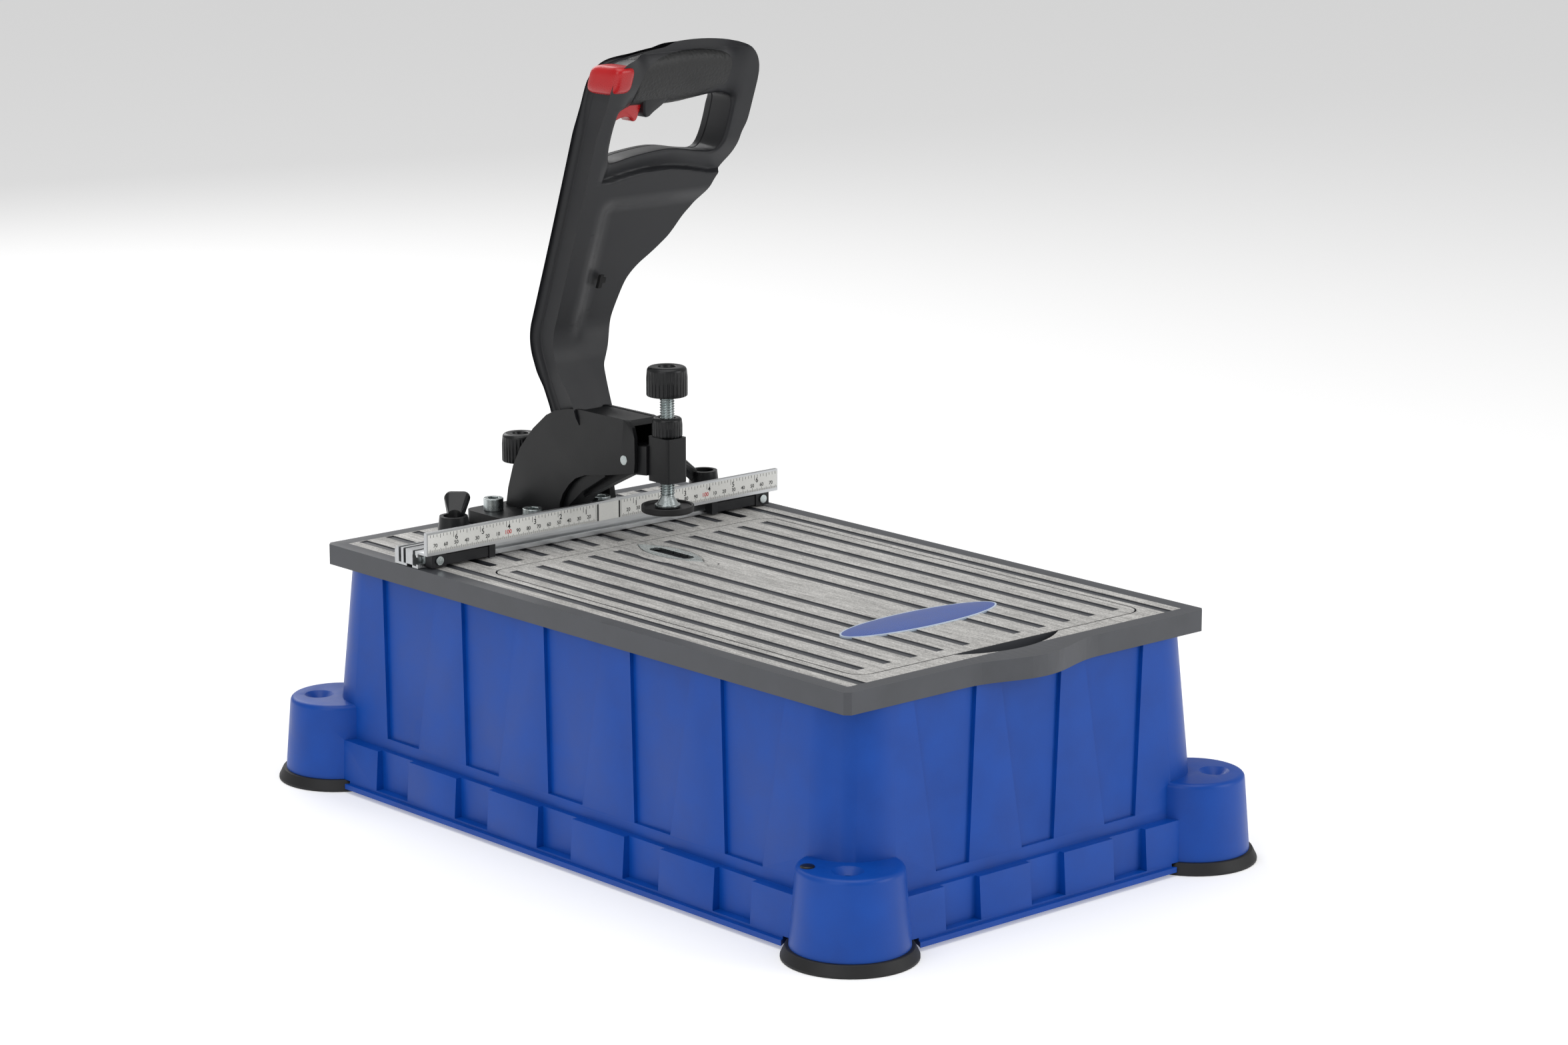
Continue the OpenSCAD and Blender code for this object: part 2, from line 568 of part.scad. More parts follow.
module knob(r, h, bore) {
    difference() {
        union() {
            cylinder(r1 = r * 0.98, r2 = r, h = h * 0.25, $fn = 48);
            translate([0, 0, h * 0.25]) cylinder(r1 = r, r2 = r * 0.9, h = h * 0.6, $fn = 48);
            translate([0, 0, h * 0.85]) cylinder(r1 = r * 0.9, r2 = r * 0.78, h = h * 0.15, $fn = 48);
        }
        for (i = [0:17]) rotate([0, 0, i * 20]) translate([r + 0.4, 0, -e])
            cylinder(r = 1.3, h = h * 0.82, $fn = 24);
        translate([0, 0, -e]) cylinder(r = bore, h = h * 0.7, $fn = 48);
        translate([0, 0, h - 2]) cylinder(r = r * 0.4, h = 3, $fn = 48);
    }
}
module stop_knob() { color("black") translate([0, stop_y, stop_knob_z]) knob(15, 23, stop_r); }

function head_outline() = [for (p = [[149, -59.7], [146, -45], [139.5, -26.5], [129.5, -9.5], [113, 8.2],
    [96, 21.5], [85, 26.7], [68, 30.6], [54, 32], [0, 32], [-6, 31], [-10.5, 27], [-13, 19], [-13.3, 0],
    [-12.2, -8.4], [19.5, -15], [48, -19.5], [60, -24], [68, -30], [76, -39], [80, -47], [82, -59.7]])
    [pin_y + p[0], pin_z + p[1]]];
module lever_head() {
    color("dimgray") difference() {
        union() {
            for (s = [-1, 1]) side(s > 0 ? gap_hw : -head_w / 2, s > 0 ? head_w / 2 : -gap_hw)
                polygon(head_outline());
            side(-gap_hw - 1, gap_hw + 1) polygon([[pin_y - 9.5, pin_z + 28], [pin_y - 4, pin_z + 31.5],
                [pin_y + 53, pin_z + 31.5], [pin_y + 54, pin_z + 14], [pin_y + 50, pin_z + 14],
                    [pin_y + 49, pin_z + 27],
                [pin_y - 4, pin_z + 27.5]]);
            side(-gap_hw - 1, gap_hw + 1) polygon([[pin_y + 52, pin_z + 18], [pin_y + 104, pin_z + 14],
                [pin_y + 112, pin_z + 4], [pin_y + 102, pin_z - 2], [pin_y + 56, pin_z + 8]]);
            side(-5, 5) polygon([[seam_y(22) - 16, pin_z + 10], [seam_y(60) - 16, pin_z + 60],
                [seam_y(60) - 4, pin_z + 60], [seam_y(22) - 4, pin_z + 10]]);
            translate([-gap_hw - 1, stop_y - 17, pin_z - 51]) cube([2 * gap_hw + 2, 11.5, 16]);
            translate([0, stop_y, pin_z - 52]) cylinder(r = stop_r + 3, h = 19, $fn = 48);
        }
        translate([0, stop_y, pin_z - 60]) cylinder(r = stop_r + run, h = 30, $fn = 48);
        xbar(pin_y, pin_z, pin_r + run, -head_w, head_w);
        xbar(link_y, link_z, 4, -head_w / 2 + 1, head_w / 2 - 1);
    }
}
module link_top_pin() { color("silver") xbar(link_y, link_z, 4, -head_w / 2 + 1.1, head_w / 2 - 1.1); }

// The handle's outline seen from the front, x against height above the pivot
function handle_outline() = smooth([[-10, 23], [-12, 25], [-12, 30], [-14, 60], [-14.5, 110], [-15, 160],
    [-16, 210], [-17, 250],
    [-18, 283], [-15, 296], [-6, 304], [18, 310], [50, 313], [80, 312], [104, 307], [117, 294], [119, 270],
    [118, 232], [112, 219], [104, 209], [96, 192], [82, 176], [62, 157], [46, 144], [36, 130], [31, 110],
    [28, 92], [22, 76], [15, 64], [13, 50], [12, 30], [12, 25],
    [10, 23]], 3);
function window_outline() = smooth([[-9, 236], [-9, 262], [-3, 270], [30, 273], [70, 273], [98, 270], [106,
    262],
    [107, 240], [102, 229], [88, 229], [54, 234], [20, 231], [-2, 227]], 3);
// Slice of the handle's depth, from y0 to y1 behind its seam line
module depth_band(y0, y1) {
    side(-40, 140) polygon(concat([for (z = seam_steps) [seam_y(z) + y0, pin_z + z]],
        [for (i = [len(seam_steps) - 1:-1:0]) [seam_y(seam_steps[i]) + y1, pin_z + seam_steps[i]]]));
}
module handle_shape() {
    front(50, 300) translate([0, pin_z]) difference() {
        polygon(handle_outline());
        polygon(window_outline());
    }
}
module handle_holes(r, y0, y1) {
    for (p = handle_screw_at) translate([p[0], seam_y(p[1]) + y0, pin_z + p[1]]) rotate([-90, 0, 0])
        cylinder(r = r, h = y1 - y0, $fn = 32);
}
// Hollow behind the window's top for the switch and the trigger
module handle_bay(y0, y1) {
    intersection() {
        depth_band(y0, y1);
        translate([-6, 0, pin_z + 268]) cube([68, 400, 30]);
    }
}
module handle_front_shell() {
    color([0.16, 0.17, 0.19]) difference() {
        intersection() {
            handle_shape();
            depth_band(-handle_d + 8, 0);
        }
        handle_bay(-19, 1);
        translate([trig_x, seam_y(trig_z) - 23, pin_z + trig_z]) rotate([-90, 0, 0])
            cylinder(r = 1.5, h = 23, $fn = 32);
        side(-5.2, 5.2) polygon([[seam_y(22) - 16.2, pin_z + 10], [seam_y(60) - 16.2, pin_z + 60.3],
            [seam_y(60) - 3.8, pin_z + 60.3], [seam_y(22) - 3.8, pin_z + 10]]);
        translate([-25, seam_y(289) - 17, pin_z + 281]) cube([20, 10, 16]);
        handle_holes(2, -13, 1);
    }
}
module handle_back_shell() {
    color([0.13, 0.14, 0.15]) difference() {
        intersection() {
            handle_shape();
            depth_band(0, 8);
        }
        handle_holes(2, -1, 10);
        handle_holes(4.2, 4, 16);
    }
}
module grip_sleeve() {
    color([0.1, 0.1, 0.11]) for (b = [[-handle_d + 6.8, -handle_d + 8], [8, 9.2]]) intersection() {
        handle_shape();
        depth_band(b[0], b[1]);
        translate([2, 0, pin_z + 274]) cube([104, 400, 32]);
    }
}
module handle_screws() {
    color("silver") for (p = handle_screw_at) translate([p[0], seam_y(p[1]) - 12, pin_z + p[1]])
        rotate([-90, 0, 0]) difference() {
        union() {
            cylinder(r = 2, h = 16, $fn = 32);
            translate([0, 0, 16]) cylinder(r = 3.8, h = 2.6, $fn = 32);
        }
        translate([0, 0, 17.2]) cylinder(r = 1.6, h = 3, $fn = 6);
    }
}
module lock_button() {
    color("red") translate([-24, seam_y(289) - 16.6, pin_z + 281.5]) cube([14.5, 9.2, 15]);
}
module trigger() {
    color("red") difference() {
        union() {
            translate([trig_x, seam_y(trig_z) - 16, pin_z + trig_z]) rotate([-90, 0, 0])
                cylinder(r = 4, h = 13, $fn = 48);
            front(seam_y(trig_z) - 16, seam_y(trig_z) - 3) translate([0, pin_z])
                polygon([[trig_x, trig_z + 3.8],
                [20, trig_z + 3], [21, 264], [14, 262.5], [4, 264], [trig_x - 3.5, trig_z]]);
        }
        translate([trig_x, seam_y(trig_z) - 30, pin_z + trig_z]) rotate([-90, 0, 0])
            cylinder(r = 1.5 + run, h = 40, $fn = 32);
    }
}
module trigger_pin() {
    color("silver") translate([trig_x, seam_y(trig_z) - 22.5, pin_z + trig_z]) rotate([-90, 0, 0])
        cylinder(r = 1.5, h = 22, $fn = 32);
}
module handle_switch() {
    color("gray") translate([28, seam_y(283) - 14, pin_z + 277]) cube([28, 11, 14]);
}

// Clamp ------------------------------------------------------------------------------------
module clamp_arm() {
    color("black") difference() {
        union() {
            for (s = [-1, 1]) xbar(pin_y, pin_z, 11.5, s > 0 ? 5.4 : -gap_hw + 0.4,
                s > 0 ? gap_hw - 0.4 : -5.4);
            for (s = [-1, 1]) side(s > 0 ? 5.4 : -gap_hw + 0.4, s > 0 ? gap_hw - 0.4 : -5.4)
                polygon([[clamp_y + 11, pin_z - 9], [pin_y - 2, pin_z - 11], [pin_y - 2, pin_z + 11],
                    [clamp_y + 11, pin_z + 14]]);
            side(-9, 9) polygon([[clamp_y + 8, pin_z - 9.6], [pin_y - 14, pin_z - 9], [pin_y - 14,
                pin_z + 12.5], [clamp_y + 8, pin_z + 16]]);
            translate([0, clamp_y, block_z0]) rplate(20, 24, 2.5, block_z1 - block_z0);
        }
        xbar(pin_y, pin_z, pin_r + run, -20, 20);
        translate([0, clamp_y, block_z0 - e]) cylinder(r = clamp_r + run, h = block_z1 - block_z0 + 1,
            $fn = 48);
    }
}
module jam_nut() {
    color("black") translate([0, clamp_y, block_z1 + 0.2]) difference() {
        union() {
            cylinder(r = 11.8, h = 12, $fn = 48);
            translate([0, 0, 12]) cylinder(r1 = 11.8, r2 = 10, h = 3, $fn = 48);
        }
        translate([0, 0, -e]) cylinder(r = clamp_r + run, h = 16, $fn = 48);
    }
}
module clamp_screw() {
    color("silver") translate([0, clamp_y, 0]) {
        translate([0, 0, screw_z0]) cylinder(r = clamp_r, h = screw_z1 - screw_z0, $fn = 48);
        translate([0, 0, screw_z0 - 3]) cylinder(r = 3, h = 4, $fn = 32);
    }
}
module clamp_knob() {
    color("black") translate([0, clamp_y, pin_z + 54]) difference() {
        knob(knob_r, 23, clamp_r);
    }
}
module swivel_cone() {
    color("silver") translate([0, clamp_y, cone_z0]) difference() {
        union() {
            cylinder(r = 10, h = 2, $fn = 48);
            translate([0, 0, 2]) cylinder(r1 = 8.5, r2 = 4.6, h = 6.8, $fn = 48);
        }
        translate([0, 0, 5.8]) cylinder(r = 3 + run, h = 4, $fn = 32);
    }
}
module rubber_pad() {
    color("black") translate([0, clamp_y, cone_z0 - 4]) rotate_extrude($fn = 72)
        polygon([[0, 0], [pad_r - 1, 0], [pad_r, 1], [pad_r, 5.4], [pad_r - 1.8, 5.4], [pad_r - 2.4, 3.4],
            [0, 3.4]]);
}

// Drive under the table --------------------------------------------------------------------
module drive_link() {
    color("silver") difference() {
        union() {
            xbar(link_y, link_z, 10, -plate_hx, plate_hx);
            xbar(crank_end_y, crank_end_z, 10, -plate_hx, plate_hx);
            side(-plate_hx, plate_hx) strap([link_y, link_z], [crank_end_y, crank_end_z], 14);
        }
        xbar(link_y, link_z, 4 + run, -10, 10);
        xbar(crank_end_y, crank_end_z, 4.4, -10, 10);
        xbar(crank_end_y + slip, crank_end_z, 4.4, -10, 10);
        translate([-10, crank_end_y, crank_end_z - 4.4]) cube([20, slip, 8.8]);
    }
}
module bell_crank() {
    hub = [crank_y, crank_z];
    color("gray") difference() {
        union() {
            for (s = [-1, 1]) side(s > 0 ? 4.6 : -9, s > 0 ? 9 : -4.6) {
                strap(hub, [crank_end_y, crank_end_z], 18);
                strap(hub, [roll_y, roll_z], 18);
            }
            for (s = [-1, 1]) for (p = [[crank_end_y, crank_end_z], [roll_y, roll_z]])
                xbar(p[0], p[1], 9, s > 0 ? 4.6 : -9, s > 0 ? 9 : -4.6);
            xbar(crank_y, crank_z, 13, -13.6, 13.6);
        }
        xbar(crank_y, crank_z, 5 + run, -20, 20);
        xbar(crank_end_y, crank_end_z, 4, -20, 20);
        xbar(roll_y, roll_z, 3, -20, 20);
    }
}
module link_bottom_pin() { color("silver") xbar(crank_end_y, crank_end_z, 4, -10, 10); }
module crank_roller() {
    color("silver") xbar(roll_y, roll_z, 3, -10, 10);
    color("goldenrod") difference() {
        xbar(roll_y, roll_z, roller_r, -plate_hx, plate_hx);
        xbar(roll_y, roll_z, 3, -20, 20);
    }
}
module crank_pin() { color("silver") xbar(crank_y, crank_z, 5, -19, 19); }
module crank_bracket() {
    color("dimgray") difference() {
        union() {
            for (s = [-1, 1]) side(s > 0 ? 14 : -18, s > 0 ? 18 : -14) polygon([[crank_y - 12, crank_z - 12],
                [crank_y + 12, crank_z - 12], [crank_y + 26, table_bot], [crank_y - 16, table_bot]]);
            for (s = [-1, 1]) translate([s > 0 ? 14 : -40, crank_y - 16, table_bot - 4]) cube([26, 42, 4]);
        }
        xbar(crank_y, crank_z, 5, -20, 20);
    }
}
module guide_rods() {
    color("silver") tilt() for (s = [-1, 1]) translate([s * rod_x, 0, rod_n]) sbar(rod_s0, rod_s1, rod_r);
}
// Bracket with two posts on a foot plate, bored for the guide rods at place s on the drill's axis
module rod_bracket(s) {
    y = bit_y + s * cos(drill_deg) - rod_n * sin(drill_deg);
    z = table_top + s * sin(drill_deg) + rod_n * cos(drill_deg);
    color("dimgray") difference() {
        union() {
            for (i = [-1, 1]) translate([i * rod_x - 12, y - 6, tub_bot + 3])
                cube([24, 12, z + 12 - tub_bot - 3]);
            translate([-rod_x - 12, y - 18, tub_bot + 3]) cube([2 * rod_x + 24, 36, 4]);
        }
        tilt() for (i = [-1, 1]) translate([i * rod_x, 0, rod_n]) sbar(rod_s0 - 20, rod_s1 + 20, rod_r);
    }
}
module rod_bracket_front() { rod_bracket(rod_s0 + 8); }
module rod_bracket_rear() { rod_bracket(rod_s1 - 8); }
module carriage() {
    color("slategray") tilt() difference() {
        union() {
            for (s = [-1, 1]) translate([s * rod_x, 0, rod_n]) sbar(car_s0, car_s1 - 20, rod_r + 8);
            translate([-rod_x, car_s0, rod_n - 6]) cube([2 * rod_x, car_s1 - car_s0 - 20, 5]);
            sbar(gear_s - 22, gear_s - 4, 33.5);
            translate([-14, gear_s - 22, rod_n - 4]) cube([28, 18, 12]);
        }
        sbar(gear_s - 40, gear_s + 10, 30);
        for (s = [-1, 1]) translate([s * rod_x, 0, rod_n]) sbar(car_s0 - 5, car_s1, rod_r + 3);
    }
}
module rod_bushings() {
    color("goldenrod") tilt() for (s = [-1, 1], p = [car_s0, car_s1 - 44])
        translate([s * rod_x, 0, rod_n]) difference() {
        sbar(p, p + 24, rod_r + 3);
        sbar(p - 1, p + 25, rod_r + run);
    }
}
module push_arm() {
    slot_hw = roller_r + 0.6;
    s0 = car_s1 - 34;
    color("slategray") tilt() difference() {
        union() {
            side(-plate_hx, plate_hx) polygon([[s0 - 30, rod_n - 6], [s0 + 14, rod_n - 6], [roll_s + 14,
                roll_n + 8],
                [roll_s + 14, roll_n - roll_dip - 14], [roll_s - 14, roll_n - roll_dip - 14], [s0 - 30,
                    rod_n - 20]]);
        }
        translate([-10, roll_s - slot_hw, roll_n - roll_dip]) cube([20, 2 * slot_hw, roll_dip]);
        xbar(roll_s, roll_n, slot_hw, -10, 10);
        xbar(roll_s, roll_n - roll_dip, slot_hw, -10, 10);
    }
}
module motor_housing() {
    color([0.15, 0.15, 0.17]) tilt() difference() {
        union() {
            sbar(motor_end_s, motor_s, motor_r);
            for (i = [0:11]) rotate([0, i * 30, 0]) translate([-1.5, motor_end_s + 14, motor_r - 1])
                cube([3, motor_l - 30, 2.4]);
        }
        sbar(motor_end_s - 1, motor_s - 5, motor_r - 3);
        sbar(motor_s - 10, motor_s + 1, 9);
    }
}
module motor_end_cap() {
    color("black") tilt() difference() {
        union() {
            sbar(motor_end_s - 10, motor_end_s, motor_r);
            sbar(motor_end_s - 1, motor_end_s + 6, motor_r - 3);
        }
        sbar(motor_end_s - 4, motor_end_s + 7, 5 + run);
        sbar(motor_end_s, motor_end_s + 7, motor_r - 6);
        for (i = [0:7]) rotate([0, i * 45, 0]) translate([-3, motor_end_s - 11, 16]) cube([6, 15, 12]);
    }
}
module motor_armature() {
    color("peru") tilt() {
        sbar(motor_end_s - 3, gear_s - 18, 5);
        sbar(motor_end_s + 18, motor_s - 22, 24);
        sbar(motor_end_s + 10, motor_end_s + 18.5, 12);
        for (i = [0:7]) rotate([0, i * 45, 0]) translate([-1, motor_s - 20, 0]) cube([2, 10, 26]);
    }
}
module gearbox_case() {
    color("silver") tilt() difference() {
        sbar(motor_s, gear_s, 30);
        sbar(motor_s - 1, gear_s - 4, 25);
        sbar(gear_s - 10, gear_s + 1, 9 + run);
    }
}
module chuck() {
    color("gray") tilt() difference() {
        union() {
            sbar(gear_s - 15, spindle_s + 1, 9);
            sbar(spindle_s, chuck_s, 17);
            translate([0, nose_s, 0]) rotate([90, 0, 0])
                cylinder(r1 = 9, r2 = 15, h = nose_s - chuck_s, $fn = 64);
        }
        sbar(nose_s - 30, nose_s + 1, bit_r);
    }
}
module drill_bit() {
    tip_l = 12;
    color("lightgray") tilt() {
        sbar(nose_s - 30, tip_s - tip_l - 4, bit_r);
        translate([0, tip_s - tip_l, 0]) rotate([90, 0, 0]) cylinder(r1 = 2.2, r2 = bit_r, h = 4, $fn = 48);
        sbar(tip_s - tip_l, tip_s - 2, 2.2);
        translate([0, tip_s, 0]) rotate([90, 0, 0]) cylinder(r1 = 0.3, r2 = 2.2, h = 2, $fn = 48);
    }
}

base_tub();
rubber_feet();
bottom_plate();
power_inlet();
table_frame();
table_screws();
access_lid();
lid_hinge_pins();
drill_insert();
badge_plate();
fence_extrusion();
ruler_tape();
fence_bolts();
wing_knob_left();
wing_knob_right();
stop_left();
stop_right();
stop_screw_left();
stop_screw_right();
pedestal();
cap_screws();
pedestal_nuts();
pivot_pin();
stop_rod();
stop_knob();
lever_head();
handle_front_shell();
handle_back_shell();
grip_sleeve();
handle_screws();
lock_button();
trigger();
trigger_pin();
handle_switch();
clamp_arm();
jam_nut();
clamp_screw();
clamp_knob();
swivel_cone();
rubber_pad();
link_top_pin();
drive_link();
bell_crank();
link_bottom_pin();
crank_roller();
crank_pin();
crank_bracket();
guide_rods();
rod_bracket_front();
rod_bracket_rear();
carriage();
push_arm();
rod_bushings();
motor_housing();
motor_end_cap();
motor_armature();
gearbox_case();
chuck();
drill_bit();
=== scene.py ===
# %% [markdown]
# # Bench pocket-hole drilling machine
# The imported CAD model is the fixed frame: every part already has its real size and place.
# This lesson gives each part its visible finish. Rigid CAD parts get softened edges and a
# material; the handle, the thread, the drill, the ruler's print and the badge are new surfaces.
# We load the frame first, because every later size is read from it.

import json
import math

import bmesh
import bpy
import numpy as np
from mathutils.geometry import tessellate_polygon
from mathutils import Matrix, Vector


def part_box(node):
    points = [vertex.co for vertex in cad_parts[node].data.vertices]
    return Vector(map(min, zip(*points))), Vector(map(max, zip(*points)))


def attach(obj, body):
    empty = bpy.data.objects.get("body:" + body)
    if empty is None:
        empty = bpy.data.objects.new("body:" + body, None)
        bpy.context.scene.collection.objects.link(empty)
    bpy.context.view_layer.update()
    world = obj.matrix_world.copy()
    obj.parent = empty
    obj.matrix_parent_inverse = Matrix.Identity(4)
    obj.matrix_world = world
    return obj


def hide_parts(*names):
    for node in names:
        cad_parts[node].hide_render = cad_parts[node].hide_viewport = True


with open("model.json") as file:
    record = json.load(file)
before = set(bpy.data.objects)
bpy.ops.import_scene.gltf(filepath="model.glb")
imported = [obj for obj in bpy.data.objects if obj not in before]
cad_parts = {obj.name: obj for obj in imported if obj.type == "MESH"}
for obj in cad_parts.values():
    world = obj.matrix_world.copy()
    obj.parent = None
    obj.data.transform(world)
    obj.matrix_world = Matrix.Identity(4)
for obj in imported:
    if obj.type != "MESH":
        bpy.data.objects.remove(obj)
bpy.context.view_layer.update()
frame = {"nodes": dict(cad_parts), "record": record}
nodes = frame["nodes"]
body_of_node = {n: b for b, members in frame["record"]["behaviour"]["bodies"].items() for n in members}
MM = 0.001

# %% [markdown]
# ## Camera, floor and light
# The machine is shown a little from above, from its front left corner. A long lens keeps its
# edges nearly parallel. Four large soft lamps and a faintly lit white
# sheet stand in for a photo studio.
# The lamps are much larger than the machine, so that black plastic shows broad, soft highlights.
# The standard view keeps a white page white and the plastics as deep as their hex colours say.

# %% Camera
camera_data = bpy.data.cameras.new("camera")
camera_data.lens = 95.26
camera_data.sensor_width = 36.0
camera_data.clip_start = 0.05
camera_data.clip_end = 60.0
camera = bpy.data.objects.new("camera", camera_data)
camera.location = (-2.01296, -2.29476, 0.92407)
camera.rotation_euler = (math.radians(90 - 12.815), 0.0, math.radians(-41.718))
bpy.context.scene.collection.objects.link(camera)
bpy.context.scene.camera = camera
print("camera distance to the middle, m:", round(camera.location.length, 3))


# %% Small helpers for colour and nodes
def linear(hex_colour):
    """Linear RGBA from an sRGB hex colour: each channel is ((c + 0.055) / 1.055) ^ 2.4, or c / 12.92 near black."""
    channels = [int(hex_colour[i:i + 2], 16) / 255 for i in (1, 3, 5)]
    return [c / 12.92 if c <= 0.04045 else ((c + 0.055) / 1.055) ** 2.4 for c in channels] + [1.0]


def add(tree, kind, inputs=None, **settings):
    """Adds one node, sets its settings, and fills its inputs with values or with links from other nodes."""
    node = tree.nodes.new(kind)
    for key, value in settings.items():
        setattr(node, key, value)
    for key, value in (inputs or {}).items():
        if isinstance(value, bpy.types.NodeSocket):
            tree.links.new(value, node.inputs[key])
        else:
            node.inputs[key].default_value = value
    return node


print("plain white in linear colour:", linear("#ffffff"))


# %% Floor and lamps
def lamp(name, place, aim, size, power):
    """A square area lamp at place that points at aim."""
    data = bpy.data.lights.new(name, "AREA")
    data.size = size
    data.energy = power
    obj = bpy.data.objects.new(name, data)
    obj.location = place
    turn = Vector(aim) - Vector(place)
    obj.rotation_euler = turn.to_track_quat("-Z", "Y").to_euler()
    bpy.context.scene.collection.objects.link(obj)
    return obj


lamp("lamp_above", (-0.3, -0.2, 2.6), (0, 0, 0.1), 2.4, 34)
lamp("lamp_left", (-2.8, -0.9, 1.5), (0, 0, 0.2), 1.8, 18)
lamp("lamp_right", (1.7, -2.8, 1.3), (0, 0, 0.2), 1.8, 29)
lamp("lamp_back", (0.6, 2.6, 1.7), (0, 0, 0.3), 1.6, 22)
world = bpy.data.worlds.new("studio")
bpy.context.scene.world = world
world.use_nodes = True
world.node_tree.nodes["Background"].inputs["Color"].default_value = (1.0, 1.0, 1.0, 1.0)
world.node_tree.nodes["Background"].inputs["Strength"].default_value = 0.42

bpy.context.scene.view_settings.view_transform = "Standard"

floor_mesh = bpy.data.meshes.new("floor")
half_floor = 14.0
floor_mesh.from_pydata([(-half_floor, -half_floor, 0), (half_floor, -half_floor, 0),
                        (half_floor, half_floor, 0), (-half_floor, half_floor, 0)], [], [(0, 1, 2, 3)])
floor = bpy.data.objects.new("floor", floor_mesh)
bpy.context.scene.collection.objects.link(floor)
paper = bpy.data.materials.new("lit white acrylic sheet")
paper.use_nodes = True
paper.node_tree.nodes["Principled BSDF"].inputs["Base Color"].default_value = linear("#eeeeee")
paper.node_tree.nodes["Principled BSDF"].inputs["Roughness"].default_value = 0.9
paper.node_tree.nodes["Principled BSDF"].inputs["Emission Color"].default_value = linear("#ffffff")
paper.node_tree.nodes["Principled BSDF"].inputs["Emission Strength"].default_value = 0.28
floor_mesh.materials.append(paper)
print("floor side, m:", 2 * half_floor)

# %% [markdown]
# ## Materials
# Each material is named for what the real one is. Moulded plastic shows a fine spark-eroded
# grain, powder coat an orange-peel ripple, and metal the marks of the tool that cut it. Grain
# sizes are real millimetres, read from Object coordinates, which are metres here. Where a
# grain is too fine to see, it is drawn about twice as coarse.


# %% One recipe for a grained surface
def grained(name, dark, light, roughness, grain_mm, relief_mm, metallic=0.0, stretch=(1, 1, 1), spread=0.08,
            mottle_mm=30.0, coat=0.0, ior=1.5):
    """A solid colour that drifts between two close shades, with a grain in its relief and in its gloss."""
    material = bpy.data.materials.new(name)
    material.use_nodes = True
    tree = material.node_tree
    shader = tree.nodes["Principled BSDF"]
    where = add(tree, "ShaderNodeTexCoord").outputs["Object"]
    along = add(tree, "ShaderNodeMapping", {"Vector": where, "Scale": stretch}).outputs["Vector"]
    grain = add(tree, "ShaderNodeTexNoise", {"Vector": along, "Scale": 1 / (grain_mm * MM), "Detail": 3.0,
                                             "Roughness": 0.6}).outputs["Fac"]
    mottle = add(tree, "ShaderNodeTexNoise", {"Vector": along, "Scale": 1 / (mottle_mm * MM),
                                              "Detail": 4.0}).outputs["Fac"]
    both = add(tree, "ShaderNodeMath", {0: grain, 1: 0.4}, operation="MULTIPLY")
    both = add(tree, "ShaderNodeMath", {0: mottle, 1: 0.6, 2: both.outputs[0]}, operation="MULTIPLY_ADD")
    shade = add(tree, "ShaderNodeValToRGB", {"Fac": both.outputs[0]})
    shade.color_ramp.elements[0].position, shade.color_ramp.elements[0].color = 0.35, linear(dark)
    shade.color_ramp.elements[1].position, shade.color_ramp.elements[1].color = 0.65, linear(light)
    tree.links.new(shade.outputs["Color"], shader.inputs["Base Color"])
    gloss = add(tree, "ShaderNodeMapRange", {"Value": both.outputs[0], "From Min": 0.3, "From Max": 0.7,
                                             "To Min": roughness - spread, "To Max": roughness + spread})
    tree.links.new(gloss.outputs["Result"], shader.inputs["Roughness"])
    relief = add(tree, "ShaderNodeBump", {"Height": grain, "Distance": relief_mm * MM, "Strength": 1.0})
    tree.links.new(relief.outputs["Normal"], shader.inputs["Normal"])
    shader.inputs["Metallic"].default_value = metallic
    if metallic < 0.5:
        shader.inputs["IOR"].default_value = ior
    shader.inputs["Coat Weight"].default_value = coat
    return material


print("grained() is the base of every plastic and metal here")


# %% Plastics and rubber
blue_polypropylene = grained("moulded blue polypropylene", "#003f96", "#0147a4", 0.40, 0.5, 0.035, ior=1.38)
black_nylon = grained("moulded glass-filled black nylon", "#141518", "#1b1c20", 0.42, 0.45, 0.045, ior=1.42)
knob_black = grained("moulded black phenolic", "#0c0d0f", "#141517", 0.32, 0.6, 0.02, ior=1.42)
signal_red = grained("moulded red polycarbonate", "#a8040e", "#b90812", 0.30, 0.6, 0.02)
foot_rubber = grained("moulded black rubber", "#08080a", "#101011", 0.58, 0.7, 0.05)
case_plastic = grained("moulded dark grey motor case", "#202226", "#2b2e33", 0.5, 0.5, 0.05)
# painted shade: near-black colour for the handle slot's sheet, standing in for the shade inside the slot's hollow
painted_slot_shade = grained("unlit black recess", "#050506", "#08080a", 0.8, 0.8, 0.02)
tape_white = grained("printed matte polyester tape", "#dcdcd8", "#e8e8e4", 0.42, 0.8, 0.004)
tape_grey = grained("printed grey polyester tape", "#9a9c9d", "#a9abac", 0.42, 0.8, 0.004)
ink_black = grained("black printing ink", "#101010", "#181818", 0.5, 0.6, 0.002)
ink_red = grained("red printing ink", "#c01818", "#cc2020", 0.5, 0.6, 0.002)
badge_enamel = grained("blue badge under clear resin", "#0c3f94", "#1148a2", 0.24, 1.2, 0.004, coat=0.3)
badge_rim = grained("pale badge rim under clear resin", "#b9cbe0", "#cad8ea", 0.2, 1.0, 0.004, coat=0.6)
print("plastics, rubber and inks made")

